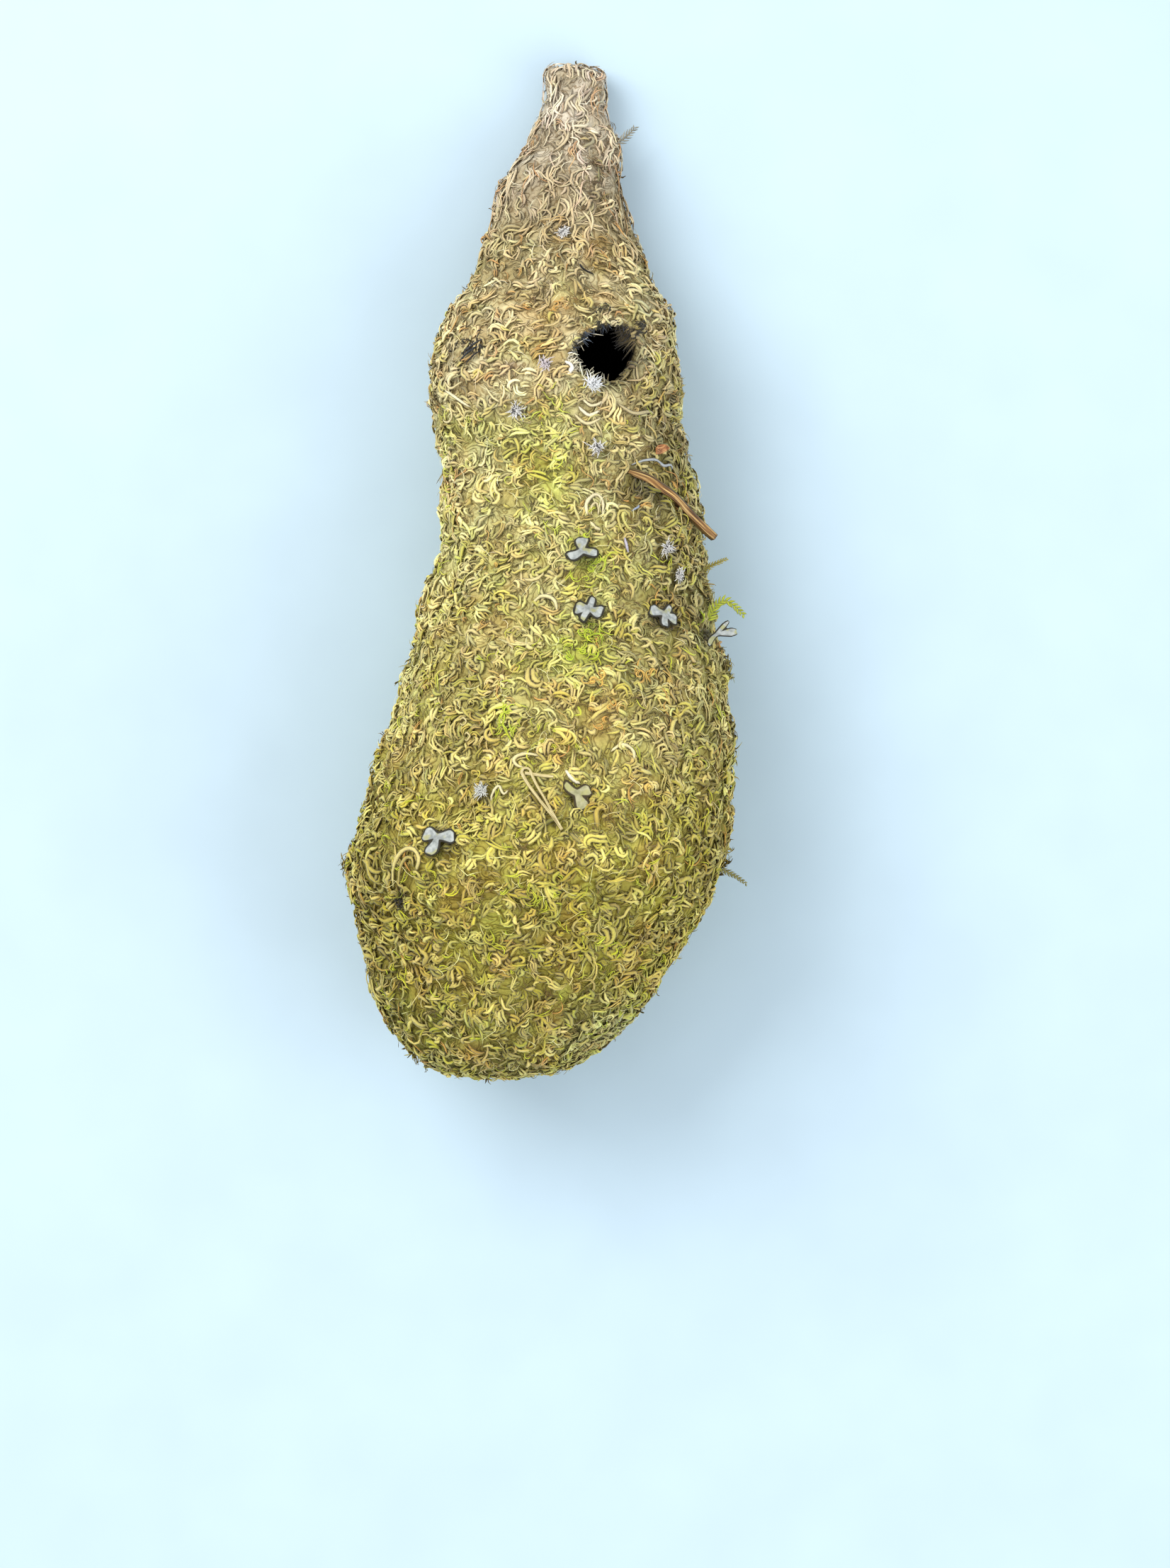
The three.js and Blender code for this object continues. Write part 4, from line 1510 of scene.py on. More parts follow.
@dataclass
class SingleStrands:
    """The strands that can be told apart, laid over the coat."""

    skin: Skin
    joints: int = 14
    seed: int = 51

    def __post_init__(self) -> None:
        """Sets up the source of random numbers."""
        self.rng = np.random.default_rng(self.seed)

    def path(self, strand: Strand) -> tuple[Array, Array]:
        """Middle line of one strand, and the way out of the felt along it.

        Args:
            strand: the strand.

        Returns:
            The places and the normals.
        """
        route = smooth_route(np.array(strand.route), self.joints)
        points, normals = (np.array(part) for part in zip(*(self.skin.drop(x, up) for x, up in route)))
        normals = unit(normals)
        points[1:-1] = points[1:-1] * 0.5 + (points[:-2] + points[2:]) * 0.25
        arch = swell(np.linspace(0, 1, self.joints), 0.5)
        return points + normals * ((0.3 + 1.2 * arch) * MM)[:, None], normals

    def build(self) -> None:
        """Builds the strands, one piece for each slot."""
        along = np.linspace(0, 1, self.joints)
        for slot in sorted({strand.slot for strand in SINGLE_STRANDS}):
            chosen = [strand for strand in SINGLE_STRANDS if strand.slot == slot]
            paths, ups = (np.array(part) for part in zip(*(self.path(strand) for strand in chosen)))
            widths = np.array([strand.width for strand in chosen])[:, None]
            half = widths / 2 * (0.35 + 0.65 * swell(along, 0.4))
            half = half * self.rng.uniform(0.85, 1.15, half.shape)
            tints = np.array([linear(strand.tone) for strand in chosen])[:, None, :]
            tints = tints * np.ones((1, self.joints, 1))
            piece = StrandMesh(paths, ups, half * MM, half * 0.8 * MM).build("single_" + slot, tints)
            finish_piece(piece, FibreFinish(f"single_{slot}_strands", edge=1.0).material())


# Outline of the entrance about its middle, and the tones of its fringe by the angle round it
RIM = (
    (-8.2, -1.0), (-5.4, 3.0), (-0.8, 6.8), (4.0, 7.4), (8.4, 6.4),
    (7.6, 1.4), (5.4, -3.4), (1.6, -6.6), (-3.2, -5.4), (-7.2, -3.6),
)
FRINGE_TONES = {130: "39424e", 50: "241e15", 0: "57492e", -45: "6b5d3c", -100: "cfc8ae", -170: "e6dcc0"}
RIM_SAMPLES = 200


@dataclass
class EntranceFringe:
    """Loose hairs round the entrance, and brown ones that line its right side, about a set angle, darkening
    toward their tips in the hole as painted shade.
    """

    skin: Skin
    loose: int = 340
    loose_reach: Pair = (1.4, 3.9)
    lining: int = 380
    lining_reach: Pair = (2.0, 6.5)
    lining_at: float = -12.0
    lining_span: float = 58.0
    lining_slope: float = 0.55
    lining_shade_tones: tuple[str, str] = ("7d6e48", "1d170e")
    joints: int = 6
    seed: int = 61

    def __post_init__(self) -> None:
        """Works out the outline, and the part of it that the lining takes."""
        self.rng = np.random.default_rng(self.seed)
        self.outline = smooth_route(np.array([*RIM, RIM[0]]), RIM_SAMPLES)
        turns = np.degrees(np.arctan2(self.outline[:, 1], self.outline[:, 0]))
        self.right = self.outline[np.abs(turns - self.lining_at) < self.lining_span]

    def tone(self, spot: Array) -> Array:
        """Tone of a hair rooted at a spot of the rim, with some that keep to the next tone.

        Args:
            spot: the root, from the entrance's middle.

        Returns:
            A linear colour.
        """
        turn = math.degrees(math.atan2(spot[1], spot[0])) + self.rng.normal(0, 22)
        nearest = min(FRINGE_TONES, key=lambda angle: abs((turn - angle + 180) % 360 - 180))
        return linear(FRINGE_TONES[nearest]) * math.exp(self.rng.normal(0, 0.25))

    def hair(self, lining: bool) -> tuple[Array, Array, Array]:
        """Middle line, half widths and tints of one hair.

        Args:
            lining: whether the hair lines the right side.

        Returns:
            The places, the half widths and a linear colour for each joint.
        """
        rng = self.rng
        along = np.linspace(0, 1, self.joints)
        edge = self.right if lining else self.outline[: RIM_SAMPLES - 1]
        spot = edge[rng.integers(0, len(edge))]
        inward = -unit(spot[None])[0]
        sideways = np.array([-inward[1], inward[0]])
        start = spot - inward * rng.uniform(0.4, 2.4)
        way = unit((inward + sideways * rng.normal(0, 0.7))[None])[0]
        reach = rng.uniform(*(self.lining_reach if lining else self.loose_reach))
        root, _ = self.skin.drop(ENTRANCE_X + start[0], ENTRANCE_UP + start[1])
        flat = start + along[:, None] * way * reach + sideways * rng.normal(0, 0.5) * (along**2)[:, None]
        path = np.empty((self.joints, 3))
        path[:, 0] = (ENTRANCE_X + flat[:, 0] - MIDDLE_X) * MM
        path[:, 1] = (ENTRANCE_UP + flat[:, 1] - MIDDLE_UP) * MM
        rise = rng.uniform(0.5, 1.1)
        path[:, 2] = root[2] + (0.3 + rise * np.sin(along * math.pi * 0.8) - 0.3 * along) * MM
        wide = rng.uniform(0.1, 0.22)
        tint = np.tile(self.tone(spot), (self.joints, 1))
        if lining:
            path[:, 2] -= self.lining_slope * reach * along * MM
            # The lining darkens from root to tip as it goes into the hole: painted shade
            root_tone, tip_tone = (linear(tone) for tone in self.lining_shade_tones)
            tint = fade(root_tone, tip_tone, (along * reach / self.lining_reach[1]) ** 0.6)
            tint = tint * math.exp(rng.normal(0, 0.25))
            wide *= 1.5
        return path, wide * (1 - 0.7 * along**2) * MM, tint

    def build(self) -> Piece:
        """Builds the hairs.

        Returns:
            The piece.
        """
        hairs = [self.hair(index >= self.loose) for index in range(self.loose + self.lining)]
        paths, half, tints = (np.array(part) for part in zip(*hairs))
        ups = np.tile(np.array([0.0, 0.0, 1.0]), (len(paths), self.joints, 1))
        piece = StrandMesh(paths, ups, half, half).build("entrance_fringe", tints)
        return finish_piece(piece, FibreFinish("fringe_hairs", 0.2, 0.2).material())


@dataclass(frozen=True)
class Flake:
    """One lobed lichen flake: its node, its place and the tips of its lobes from its middle."""

    node: str
    x: float
    up: float
    lobes: tuple[Pair, ...]
    facing: Triple | None = None
    slender: float = 1.0
    mossy: bool = False


FLAKES = (
    Flake("lichen_flake_upper", 13.4, 156.2, ((-0.6, 4.4), (4.6, -0.3), (-3.8, -2.8))),
    Flake("lichen_flake_middle", 15.1, 139.0, ((-4.0, 1.0), (-2.9, -3.3), (2.0, 3.9), (3.9, -1.6))),
    Flake("lichen_flake_right", 37.0, 137.3, ((-4.4, 1.8), (3.4, 3.0), (4.2, -0.9), (-0.6, -4.3))),
    Flake("lichen_flake_lower", 11.8, 85.3, ((-4.0, 2.1), (4.0, 1.6), (2.1, -4.6)), mossy=True),
    Flake("lichen_flake_left", -27.5, 72.7, ((-4.5, 2.0), (5.4, 0.6), (-2.0, -5.3))),
    Flake("lichen_flake_edge", 52.6, 132.6, ((4.0, 3.8), (6.8, 1.2), (-3.0, -2.6)), (0.42, 0.1, 0.9), 0.55),
)
FLAKE_CLEARING = 4.4
LOBE_NARROW = 1.65
LOBE_WIDE = 2.2
WIDTH_SWING = 0.3
LOBE_NOTCH = 0.12
NOTCH_WIDTH = 0.9
LOBE_STRETCH = 1.12
LOBE_BEND = 0.3
CORE_REACH = 2.6
LOBE_END = 0.62
LOBE_THICKNESS = 0.4
LOBE_DISH = 0.45
FLAKE_VOXEL = 0.27
FLAKE_ABOVE = 1.3


class Lobe:
    """One lobe of a flake: a paddle with a round end, which bends to one side."""

    def __init__(self, tip: Pair, slender: float) -> None:
        """Works out the lobe's sizes, each a little of its own, from its tip.

        Args:
            tip: the place of the tip from the flake's middle.
            slender: how slender the flake's lobes are.
        """
        self.away = math.hypot(*tip)
        self.length = self.away * LOBE_STRETCH
        self.tip = tip
        self.slender = slender
        self.wide = LOBE_WIDE * (1 + WIDTH_SWING * math.sin(tip[0] * 7 + tip[1] * 4))
        self.bend = LOBE_BEND * math.sin(tip[0] * 5 + tip[1] * 3) * self.length
        self.notch = LOBE_NOTCH * max(0.0, math.sin(tip[0] * 3 + tip[1] * 5)) * self.length

    def half_width(self, out: Array) -> Array:
        """Half the width, in millimetres, at each share of the way out.

        Args:
            out: shares of the way out.

        Returns:
            Half a width for each share.
        """
        body = LOBE_NARROW + (self.wide - LOBE_NARROW) * smooth_step(0.05, 0.75, out)
        past = np.clip((out - LOBE_END) / (1 - LOBE_END), 0, 1)
        return body * self.slender * np.sqrt(np.maximum(1 - past**2, 0))

    def model(self) -> Piece:
        """Models the lobe from a flattened ball.

        Returns:
            The lobe.
        """
        deselect()
        bpy.ops.mesh.primitive_uv_sphere_add(segments=20, ring_count=12, radius=MM)
        lobe = bpy.context.object
        points = vectors_of(lobe.data) / MM
        outward = (points[:, 0] + 1) / 2
        ball = np.sqrt(np.maximum(1 - points[:, 0] ** 2, 1e-4))
        x = outward * self.length
        y = points[:, 1] * (self.half_width(outward) / ball)
        z = points[:, 2] / np.maximum(ball, 0.35) * LOBE_THICKNESS
        z += LOBE_DISH * (np.hypot(x - self.length * 0.6, y) / (self.length * 0.5)) ** 2
        x -= self.notch * smooth_step(0.55, 1, outward) * (1 - smooth_step(0, NOTCH_WIDTH, np.abs(y)))
        y += self.bend * outward**2
        set_points(lobe.data, np.stack([x, y, z], axis=-1) * MM)
        lobe.data.transform(Matrix.Rotation(math.atan2(self.tip[1], self.tip[0]), 4, "Z"))
        return lobe

    def outward(self, points: Array) -> Array:
        """Share of the way from the lobe's middle line to its rim, above 1 past it, and 9 behind the lobe.

        Args:
            points: places from the flake's middle, in millimetres.

        Returns:
            A share for each place.
        """
        direction = np.array(self.tip) / self.away
        along = points[:, :2] @ direction
        side = points[:, 0] * -direction[1] + points[:, 1] * direction[0]
        out = np.clip(along / self.length, 0, 1)
        side -= self.bend * out**2
        gap = np.minimum(np.maximum(self.half_width(out), 0.05) - np.abs(side), self.length - along)
        return np.where(along > -0.3, 1 - gap / self.slender, 9.0)


@dataclass
class LichenFlake:
    """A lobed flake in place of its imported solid: its sizes, what it lies on and its finish."""

    flake: Flake
    skin: Skin
    material: Material

    def build(self) -> Piece:
        """Joins the lobes in one flake, lays it on the felt and dresses it.

        Returns:
            The piece.
        """
        flake = self.flake
        lobes = [Lobe(tip, flake.slender) for tip in flake.lobes]
        piece = join([lobe.model() for lobe in lobes], flake.node.replace("lichen_", ""))
        apply_modifier(piece, "REMESH", mode="VOXEL", voxel_size=FLAKE_VOXEL * MM, use_smooth_shade=True)
        apply_modifier(piece, "SMOOTH", factor=0.5, iterations=2)
        points = vectors_of(piece.data) / MM
        nearest = np.min([lobe.outward(points) for lobe in lobes], axis=0)
        add_attribute(piece.data, "rim", np.clip(nearest, 0, 1.2))
        core = 1 - np.hypot(points[:, 0], points[:, 1]) / CORE_REACH
        add_attribute(piece.data, "core", np.clip(core, 0, 1))
        low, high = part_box(flake.node)
        point, normal = self.skin.drop(flake.x, flake.up)
        facing = Vector(flake.facing or normal).normalized()
        level = (low + high).z / 2 / MM
        anchor = place(flake.x, flake.up, level) if flake.facing else Vector(point)
        piece.data.transform(Matrix.Translation(anchor + facing * FLAKE_ABOVE * MM) @ standing(facing))
        return finish_piece(piece, self.material, [flake.node])


SMOOTH_ANGLE = math.radians(40)
# Painted shade on the twig's sides, which face away from the light above: where it starts and ends, and how
# dark
SIDE_FROM = 0.12
SIDE_TO = 0.75
SIDE_SHARE = 0.85


class Stem:
    """A round stem along a route, modelled as a rod that a curve then bends."""

    def __init__(self, name: str, route: Array, radius: float, sides: int, rings: int) -> None:
        """Keeps the sizes and models the straight rod, from the origin along Z.

        Args:
            name: the piece's name.
            route: places along the middle line, in metres.
            radius: in millimetres.
            sides: how many sides round.
            rings: how many stretches along.
        """
        self.route = smooth_route(route, 60)
        self.length = float(np.linalg.norm(np.diff(self.route, axis=0), axis=1).sum())
        deselect()
        bpy.ops.mesh.primitive_cylinder_add(
            vertices=sides, radius=radius * MM, depth=self.length, location=(0, 0, self.length / 2)
        )
        self.rod = named(name)
        bpy.ops.object.transform_apply(location=True)
        set_mode("EDIT")
        for ring in range(1, rings):
            bpy.ops.mesh.select_all(action="SELECT")
            bpy.ops.mesh.bisect(plane_co=(0, 0, self.length * ring / rings), plane_no=(0, 0, 1))
        set_mode("OBJECT")

    def hollow(self, at_end: bool, wall: float, depth: float) -> None:
        """Opens one end of the rod.

        Args:
            at_end: whether the far end is opened, and not the near one.
            wall: what is left round the hole, in millimetres.
            depth: how deep the hole is, in millimetres.
        """
        choose(self.rod)
        facing = 1.0 if at_end else -1.0
        set_mode("EDIT")
        bpy.ops.mesh.select_mode(type="FACE")
        bpy.ops.mesh.select_all(action="DESELECT")
        set_mode("OBJECT")
        for face in self.rod.data.polygons:
            face.select = face.normal.z * facing > 0.9
        set_mode("EDIT")
        bpy.ops.mesh.inset(thickness=wall * MM)
        bpy.ops.mesh.extrude_region_move(TRANSFORM_OT_translate={"value": (0, 0, -facing * depth * MM)})
        set_mode("OBJECT")

    def mark_grain(self, stretch: float) -> None:
        """Gives each vertex its place in the grain, so that streaks run along the stem.

        Args:
            stretch: how far the streaks are drawn out.
        """
        points = vectors_of(self.rod.data)
        turn = np.arctan2(points[:, 1], points[:, 0])
        grain = np.stack([np.cos(turn), np.sin(turn), points[:, 2] / MM / stretch], axis=-1)
        add_attribute(self.rod.data, "grain_place", grain)

    def bend(self) -> Piece:
        """Bends the rod along its route and returns it, in place.

        Returns:
            The stem.
        """
        name = self.rod.name + "_route"
        curve = bpy.data.curves.new(name, "CURVE")
        curve.dimensions = "3D"
        spline = curve.splines.new("POLY")
        spline.points.add(len(self.route) - 1)
        for point, spot in zip(spline.points, self.route):
            point.co = (*spot, 1.0)
        guide = bpy.data.objects.new(name, curve)
        bpy.context.scene.collection.objects.link(guide)
        apply_modifier(self.rod, "CURVE", object=guide, deform_axis="POS_Z")
        bpy.data.objects.remove(guide)
        choose(self.rod)
        bpy.ops.object.shade_smooth_by_angle(angle=SMOOTH_ANGLE)
        return self.rod


@dataclass
class Twig:
    """The brown twig that is woven in at the right and stands out past the edge. Sizes are in millimetres.

    Laid is the part of its route over the felt, each spot so far off it, and past_edge the part beyond.
    """

    skin: Skin
    laid: tuple[Pair, ...] = ((27.3, 180.8), (33.0, 178.7), (37.0, 176.0), (41.0, 173.3), (44.9, 169.3))
    off: tuple[float, ...] = (1.0, 1.4, 1.5, 1.9, 3.0)
    past_edge: tuple[Pair, ...] = ((48.9, 165.5), (52.9, 161.9))
    droop: float = 0.55
    radius: float = 1.3
    wall: float = 0.4
    hole: float = 2.5
    sides: int = 20
    rings: int = 44
    grain: float = 34.0

    def route(self) -> Array:
        """Middle line of the twig over the felt, then straight out past the edge.

        Returns:
            Places in the frame.
        """
        points = list(self.skin.route(self.laid, self.off))
        for x, up in self.past_edge:
            there = np.array(place(x, up))
            there[2] = points[-1][2] - self.droop * math.hypot(*(there - points[-1])[:2])
            points.append(there)
        return np.array(points)

    def shape(self, stem: Stem) -> None:
        """Gives the straight rod ridges, a taper and a frayed start.

        Args:
            stem: the twig's stem, before it is bent.
        """
        points = vectors_of(stem.rod.data)
        along = points[:, 2] / stem.length
        turn = np.arctan2(points[:, 1], points[:, 0])
        ridges = 1 + 0.1 * np.cos(turn * 5 + along * 2) + 0.05 * np.sin(along * 23)
        taper = 0.72 + 0.4 * smooth_step(0, 0.25, along) - 0.08 * along
        frayed = 1 - 0.5 * (1 - smooth_step(0, 0.06, along)) * (0.5 + 0.5 * np.cos(turn * 2))
        points[:, :2] *= (ridges * taper * frayed)[:, None]
        set_points(stem.rod.data, points)

    def build(self) -> Piece:
        """Models the twig with a hollow square-cut end.

        Returns:
            The piece.
        """
        stem = Stem("twig_stem", self.route(), self.radius, self.sides, self.rings)
        stem.hollow(at_end=True, wall=self.wall, depth=self.hole)
        stem.mark_grain(self.grain)
        self.shape(stem)
        piece = stem.bend()
        # Painted shade on the sides that face away from the light above
        away = 1 - vectors_of(piece.data, "normal")[:, 2]
        add_attribute(piece.data, "side", smooth_step(SIDE_FROM, SIDE_TO, away) * SIDE_SHARE)
        finish = StemFinish("twig_bark", "2c1a0c", "8f6430", "dcb872", streaks=3.4)
        return finish_piece(piece, finish.material(), ["twig"])


@dataclass(frozen=True)
class StalkPart:
    """One stem of the grass stalk: its route on the front, its radius and its height above the felt."""

    name: str
    spots: tuple[Pair, ...]
    radius: float
    off: float


@dataclass
class GrassStalk:
    """The pale split stalk of dry grass low in the middle, with an arm and a small ring at its top."""

    skin: Skin
    parts: tuple[StalkPart, ...] = (
        StalkPart(
            "stalk_straw", ((-4.0, 91.8), (-2.2, 88.6), (1.4, 83.6), (5.2, 79.0), (7.8, 75.2)), 0.5, 1.7,
        ),
        StalkPart("stalk_arm", ((-3.0, 91.6), (1.2, 91.0), (5.3, 90.5)), 0.5, 1.5),
        StalkPart("stalk_split", ((-1.4, 92.2), (0.2, 88.6), (3.4, 83.0), (7.2, 76.2)), 0.425, 1.8),
        StalkPart(
            "stalk_ring", ((-4.0, 91.4), (-3.8, 92.6), (-2.7, 93.1), (-1.5, 92.5), (-1.3, 91.6)), 0.35, 1.9,
        ),
    )
    wall_share: float = 0.3
    hole: float = 2.0
    sides: int = 12
    rings: int = 24
    grain: float = 16.0

    def build(self) -> Piece:
        """Models the stems, each with an open top, and joins them.

        Returns:
            The piece.
        """
        stems = []
        for part in self.parts:
            route = self.skin.route(part.spots, [part.off] * len(part.spots))
            stem = Stem(part.name, route, part.radius, self.sides, self.rings)
            stem.hollow(at_end=False, wall=part.radius * self.wall_share, depth=self.hole)
            stem.mark_grain(self.grain)
            stems.append(stem.bend())
        finish = StemFinish("dry_straw", "7a6530", "cbbb80", "eee2b4", streaks=3.0, roughness=0.5)
        piece = join(stems, self.parts[0].name)
        return finish_piece(piece, finish.material(), ["grass_stalk"])


@dataclass
class BarkChip:
    """The red-brown chip of bark above the twig. Its size is its length, width and thickness."""

    skin: Skin
    x: float = 35.7
    up: float = 187.3
    size: Triple = (5.6, 2.7, 0.9)
    turn: float = 0.35
    curl: float = 0.16
    above: float = 1.8

    def build(self) -> Piece:
        """Models a thin slip with slanted ends that curls across its width.

        Returns:
            The piece.
        """
        deselect()
        bpy.ops.mesh.primitive_cube_add(size=2 * MM)
        piece = named("chip_of_bark")
        set_mode("EDIT")
        bpy.ops.mesh.subdivide(number_cuts=7)
        set_mode("OBJECT")
        cube = vectors_of(piece.data) / MM
        length, width, thick = (size / 2 for size in self.size)
        x = cube[:, 0] * length * (1 - 0.18 * cube[:, 1])
        y = cube[:, 1] * width * (1 - 0.45 * cube[:, 0] ** 2)
        z = cube[:, 2] * thick * 0.6 - self.curl * y**2 + 0.05 * x**2
        add_attribute(piece.data, "grain_place", np.stack([x * 0.25, y * 1.5, z * 1.5], axis=-1))
        set_points(piece.data, np.stack([x, y, z], axis=-1) * MM)
        apply_modifier(piece, "SUBSURF", levels=1, render_levels=1)
        point, normal = self.skin.drop(self.x, self.up)
        facing = Vector(normal)
        spot = Matrix.Translation(Vector(point) + facing * self.above * MM)
        piece.data.transform(spot @ standing(facing) @ Matrix.Rotation(self.turn, 4, "Z"))
        bpy.ops.object.shade_smooth_by_angle(angle=SMOOTH_ANGLE)
        finish = StemFinish("red_bark", "5a3018", "a5683a", "cc9860", streaks=2.0, roughness=0.7)
        return finish_piece(piece, finish.material(), ["bark_chip"])


@dataclass(frozen=True)
class Sprig:
    """A moss sprig that stands out from the edge: its node, its stem from root to tip, and its leaflets."""

    node: str
    pairs: int
    leaf: Pair
    tone: str
    route: tuple[Pair, ...]
    slot: str = "green_moss"


SPRIGS = (
    Sprig("moss_sprig_upper", 9, (1.6, 0.5), "a59a48", (
        (48.0, 151.2), (50.0, 152.2), (52.4, 153.6), (54.6, 154.6), (56.6, 155.4),
    )),
    Sprig("moss_sprig_fern", 13, (2.6, 0.8), "a3ac3a", (
        (50.0, 136.0), (51.6, 138.0), (53.2, 141.0), (55.8, 142.8), (58.8, 141.2), (61.4, 138.6),
    )),
    Sprig("moss_sprig_lower", 8, (1.6, 0.6), "8e8a58", (
        (53.0, 64.0), (55.6, 62.8), (58.0, 61.6), (60.2, 60.4), (62.2, 58.8),
    )),
    Sprig("moss_sprig_neck", 6, (2.4, 0.5), "8d8b7d", (
        (23.0, 280.6), (24.8, 281.6), (26.6, 283.0), (28.2, 284.4), (29.4, 285.8),
    ), "grey_lichen"),
)


@dataclass
class MossSprig:
    """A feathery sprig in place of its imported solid."""

    sprig: Sprig
    stem_width: float = 0.6
    stem_light: float = 0.8
    stem_joints: int = 12
    leaflet_joints: int = 5
    forward: float = 0.9
    seed: int = 1

    def __post_init__(self) -> None:
        """Sets up the source of random numbers."""
        self.rng = np.random.default_rng(self.seed)

    def build(self) -> Piece:
        """Models the stem and its leaflets as strands.

        Returns:
            The piece.
        """
        sprig = self.sprig
        low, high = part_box(sprig.node)
        route = np.array([place(x, up, (low.z + high.z) / 2 / MM) for x, up in sprig.route])
        leaves = self.leaflets(smooth_route(route, sprig.pairs * 2 + 4)[3:])
        middle = smooth_route(route, self.stem_joints)[None]
        stem = self.strands(middle, self.stem_width, self.stem_light, "stem")
        parts = [stem, self.strands(leaves, sprig.leaf[1], 1.0, "leaf")]
        piece = join(parts, sprig.node.replace("moss_", ""))
        finish = FibreFinish(sprig.node + "_green", edge=0.45, grain=0.4)
        return finish_piece(piece, finish.material(), [sprig.node])

    def leaflets(self, route: Array) -> Array:
        """Middle lines of the leaflets, one at each place along the stem, on its two sides by turns.

        Args:
            route: places along the stem.

        Returns:
            The places, by leaflet and joint.
        """
        paths = []
        steps = np.linspace(0, 1, self.leaflet_joints)[:, None]
        tangents = unit(np.gradient(route, axis=0))
        for index, (point, tangent) in enumerate(zip(route, tangents)):
            sideways = np.array([-tangent[1], tangent[0], 0.0])
            side = 1.0 if index % 2 else -1.0
            share = index / (len(route) - 1)
            reach = self.sprig.leaf[0] * (1 - 0.55 * share) * self.rng.uniform(0.8, 1.15)
            lean = tangent * self.forward + sideways * side
            lean[2] += self.rng.uniform(-0.2, 0.6)
            bow = np.array([0, 0, -0.25]) * steps**2 + tangent * 0.3 * steps**2
            paths.append(point + (unit(lean) * steps + bow) * reach * MM)
        return np.array(paths)

    def strands(self, paths: Array, width: float, light: float, part: str) -> Piece:
        """Builds strands along paths, pointed at their tips.

        Args:
            paths: middle line of each strand.
            width: in millimetres.
            light: how light they are beside the sprig's tone.
            part: what they are called.

        Returns:
            The object.
        """
        along = np.linspace(0, 1, paths.shape[1])
        half = width / 2 * (np.sin(math.pi * (0.15 + 0.85 * along)) * 0.9 + 0.1)
        halves = np.tile(half, (len(paths), 1)) * MM
        ups = np.tile(np.array([0.0, 0.0, 1.0]), (*paths.shape[:2], 1))
        tints = np.ones((*paths.shape[:2], 3)) * linear(self.sprig.tone) * light
        tints *= np.exp(self.rng.normal(0, 0.15, (len(paths), 1, 1)))
        strands = StrandMesh(paths, ups, halves, halves * 0.7)
        return strands.build(f"{self.sprig.node}_{part}", tints, baked=False)


@dataclass(frozen=True)
class Tuft:
    """A tuft of plant down: its place, radius, number of bristles, tone and share of dark ones."""

    x: float
    up: float
    radius: float
    bristles: int = 80
    tone: str = "e4e3e0"
    dark: float = 0.22


TUFTS = (
    Tuft(17.9, 187.5, 3.0),
    Tuft(38.2, 158.3, 2.8),
    Tuft(41.2, 150.4, 2.4),
    Tuft(-5.7, 199.1, 3.0),
    Tuft(16.4, 205.6, 3.0, 130, "eef1f3", 0.05),
    Tuft(2.7, 211.9, 2.6, 70, "ddd3d6", 0.05),
    Tuft(8.2, 252.0, 2.4),
    Tuft(-14.7, 86.5, 2.8, 110, "dfe1da", 0.2),
)


@dataclass
class DownTufts:
    """Star-like tufts of pale down, with dark bristles between the pale ones."""

    skin: Skin
    joints: int = 5
    pale_width: float = 0.19
    dark_width: float = 0.15
    dark_tone: str = "2c2a2e"
    seed: int = 31

    def __post_init__(self) -> None:
        """Sets up the source of random numbers."""
        self.rng = np.random.default_rng(self.seed)

    def bristle(self, tuft: Tuft, point: Array, normal: Array) -> tuple[Array, Array, Array, Array]:
        """Middle line, ups, half widths and tints of one bristle of a tuft that stands at a point.

        Args:
            tuft: the tuft.
            point: the point.
            normal: the way out of the felt there.

        Returns:
            The places, the ups, the half widths and a linear colour for each joint.
        """
        rng = self.rng
        along = np.linspace(0, 1, self.joints)
        sideways = unit(np.cross((0, 1, 0), normal))
        upward = np.cross(normal, sideways)
        turn = rng.uniform(0, 2 * math.pi)
        low = rng.random() ** 0.6
        out = sideways * math.cos(turn) + upward * math.sin(turn)
        reach = tuft.radius * rng.uniform(0.25, 1.15)
        rise = 0.8 + (1 - low) * 1.2
        root = (sideways * rng.normal() + upward * rng.normal()) * tuft.radius * 0.22
        bow = (sideways * rng.normal() + upward * rng.normal()) * 0.25
        flat = along[:, None] * reach * (0.35 + 0.65 * low)
        height = 0.9 + rise * np.sin(along * math.pi * 0.6)[:, None]
        path = point + (root + out * flat + bow * (along**2)[:, None] + normal * height) * MM
        is_dark = rng.random() < tuft.dark
        half = (self.dark_width if is_dark else self.pale_width) * (1 - 0.75 * along**2) * MM
        colour = linear(self.dark_tone if is_dark else tuft.tone) * math.exp(rng.normal(0, 0.1))
        return path, np.tile(normal, (self.joints, 1)), half, np.tile(colour, (self.joints, 1))

    def build(self) -> Piece:
        """Builds all the bristles as one piece.

        Returns:
            The piece.
        """
        bristles = []
        for tuft in TUFTS:
            spot = self.skin.drop(tuft.x, tuft.up)
            bristles += [self.bristle(tuft, *spot) for _ in range(tuft.bristles)]
        paths, ups, half, tints = (np.array(part) for part in zip(*bristles))
        piece = StrandMesh(paths, ups, half, half * 1.3).build("down_tufts", tints)
        finish = FibreFinish("plant_down", edge=0.3, grain=0.2, sheen=0.4)
        return finish_piece(piece, finish.material())


SKY_COLOUR = (0.98, 0.99, 1.0)


@dataclass(frozen=True)
class Lamp:
    """A square soft light: its place and side in metres, its power in watts and its linear colour."""

    name: str
    spot: Triple
    size: float
    power: float
    colour: Triple


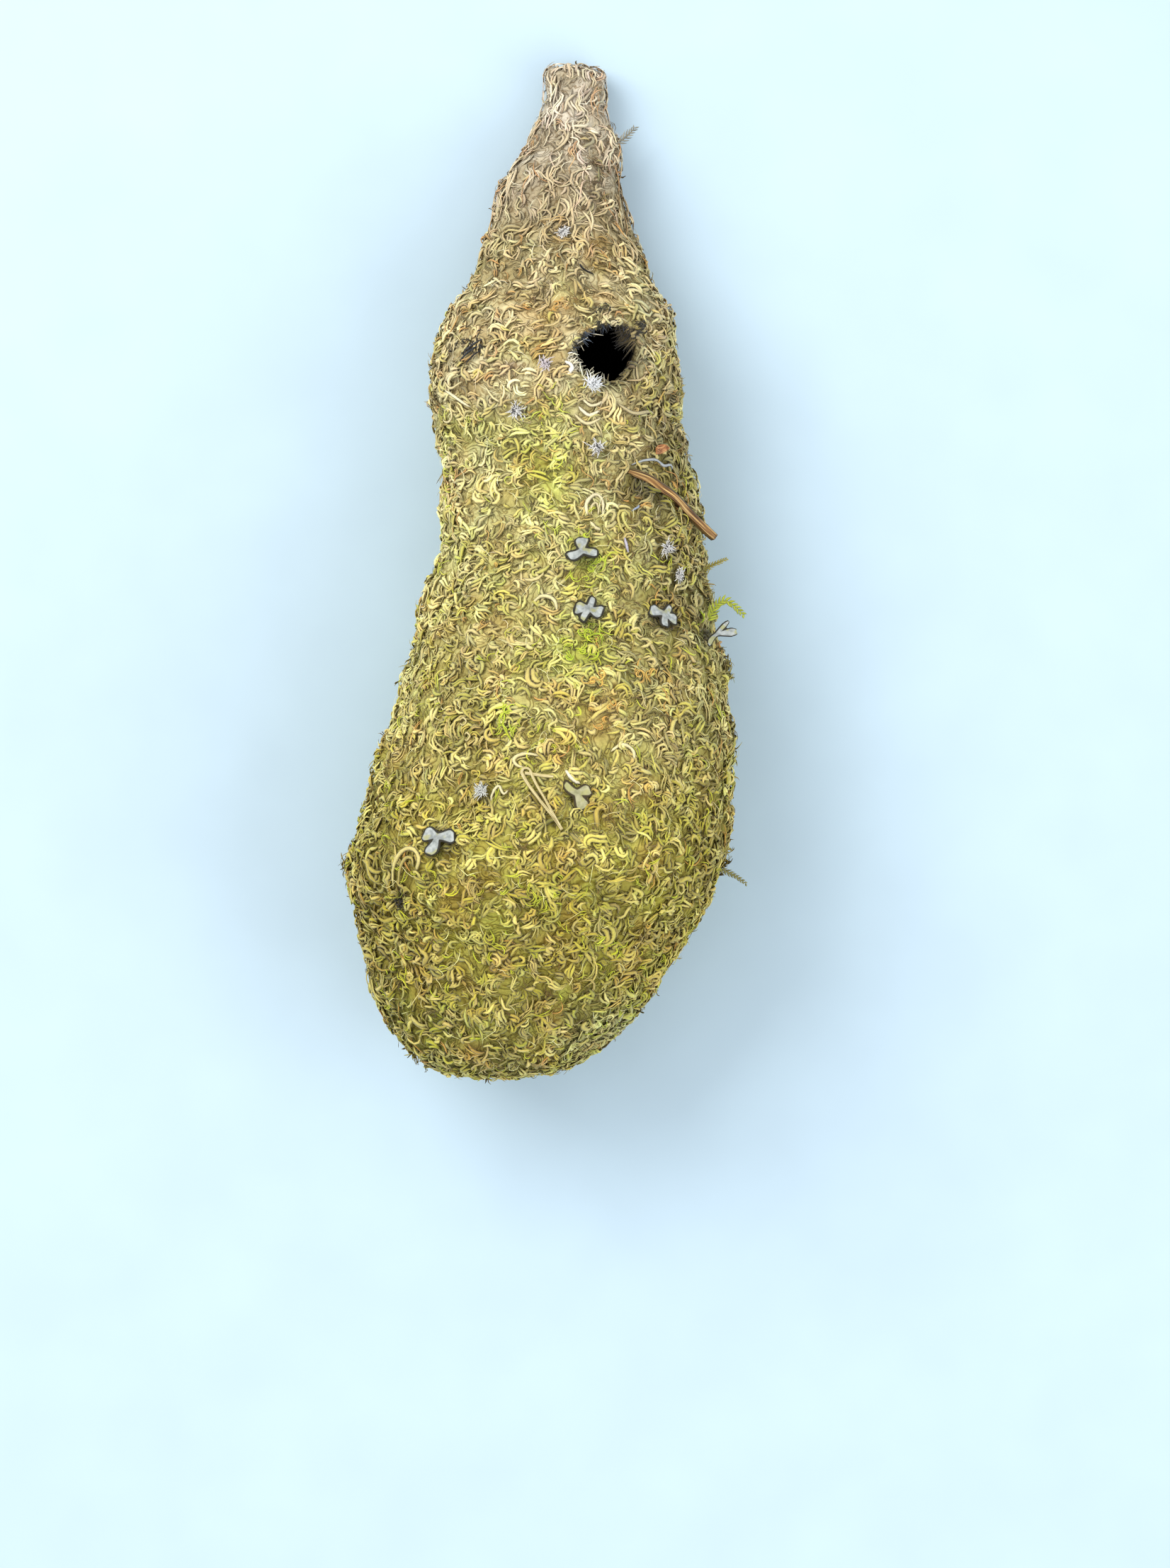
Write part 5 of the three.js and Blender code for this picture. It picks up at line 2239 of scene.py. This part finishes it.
LAMPS = (
    Lamp("key", (-0.9, 0.75, 1.2), 1.1, 21.5, (1.0, 0.97, 0.92)),
    Lamp("fill", (1.1, -0.5, 1.0), 1.3, 9.5, SKY_COLOUR),
)


@dataclass(frozen=True)
class Studio:
    """Plain pale floor, soft light from the upper left, and the camera straight above the nest.

    The floor's sizes are in metres, and the camera's place is in millimetres.
    """

    floor_tone: str = "bfd6e6"
    floor_size: float = 6.0
    floor_level: float = -0.0002
    sky_strength: float = 0.88
    camera_place: Triple = (12.09, -65.2, 45.0 + 2200.0)
    lens: float = 170.0
    reach: float = 20.0

    def build(self) -> None:
        """Sets everything up."""
        self.floor()
        for lamp in LAMPS:
            self.light(lamp)
        world = bpy.data.worlds.new("studio")
        world.use_nodes = True
        back = {"Color": (*SKY_COLOUR, 1.0), "Strength": self.sky_strength}
        Tree(world.node_tree).feed(world.node_tree.nodes["Background"], back)
        bpy.context.scene.world = world
        bpy.context.scene.view_settings.view_transform = "Standard"
        self.camera()

    def floor(self) -> None:
        """Lays the floor."""
        deselect()
        bpy.ops.mesh.primitive_plane_add(size=self.floor_size, location=(0, 0, self.floor_level))
        floor = named("studio_floor")
        paint = Paint("pale_floor")
        tone = linear(self.floor_tone)
        paper = paint.noise(paint.add("TexCoord").outputs["Object"], 30.0)
        colour = paint.mix(paint.span(paper, 0.3, 0.7), (*tone, 1.0), (*(tone * 0.96), 1.0))
        floor.data.materials.append(paint.done(Base_Color=colour, Roughness=0.9))

    def light(self, lamp: Lamp) -> None:
        """Adds a light that faces the nest.

        Args:
            lamp: its sizes.
        """
        data = bpy.data.lights.new(lamp.name, "AREA")
        data.size = lamp.size
        data.energy = lamp.power
        data.color = lamp.colour
        holder = bpy.data.objects.new(lamp.name, data)
        holder.location = lamp.spot
        aim = place(5, 150, 30) - Vector(lamp.spot)
        holder.rotation_euler = aim.to_track_quat("-Z", "Y").to_euler()
        bpy.context.scene.collection.objects.link(holder)

    def camera(self) -> None:
        """Hangs the camera straight above, at the photograph's framing."""
        data = bpy.data.cameras.new("camera")
        data.lens = self.lens
        data.clip_end = self.reach
        camera = bpy.data.objects.new("camera", data)
        camera.location = [length * MM for length in self.camera_place]
        bpy.context.scene.collection.objects.link(camera)
        bpy.context.scene.camera = camera


def main() -> None:
    """Builds the nest and the studio."""
    logging.basicConfig(level=logging.INFO, format="%(name)s: %(message)s")
    Studio().build()
    tones = Tones()
    skin = Skin(FeltBody(tones))
    clearings = [(flake.x, flake.up, FLAKE_CLEARING) for flake in FLAKES]
    clearings += [(tuft.x, tuft.up, tuft.radius) for tuft in TUFTS]
    for coat in COATS:
        CurlCoat(coat, skin, tones, clearings).build()
    SingleStrands(skin).build()
    EntranceFringe(skin).build()
    pale = LichenFinish("pale_lichen", "8a908e", "b6bbb8", "29261a").material()
    mossy = LichenFinish("mossy_lichen", "94936c", "b9b590", "3a3018").material()
    for flake in FLAKES:
        LichenFlake(flake, skin, mossy if flake.mossy else pale).build()
    for part in (Twig(skin), GrassStalk(skin), BarkChip(skin)):
        part.build()
    for sprig in SPRIGS:
        MossSprig(sprig).build()
    DownTufts(skin).build()


if __name__ == "__main__":
    main()
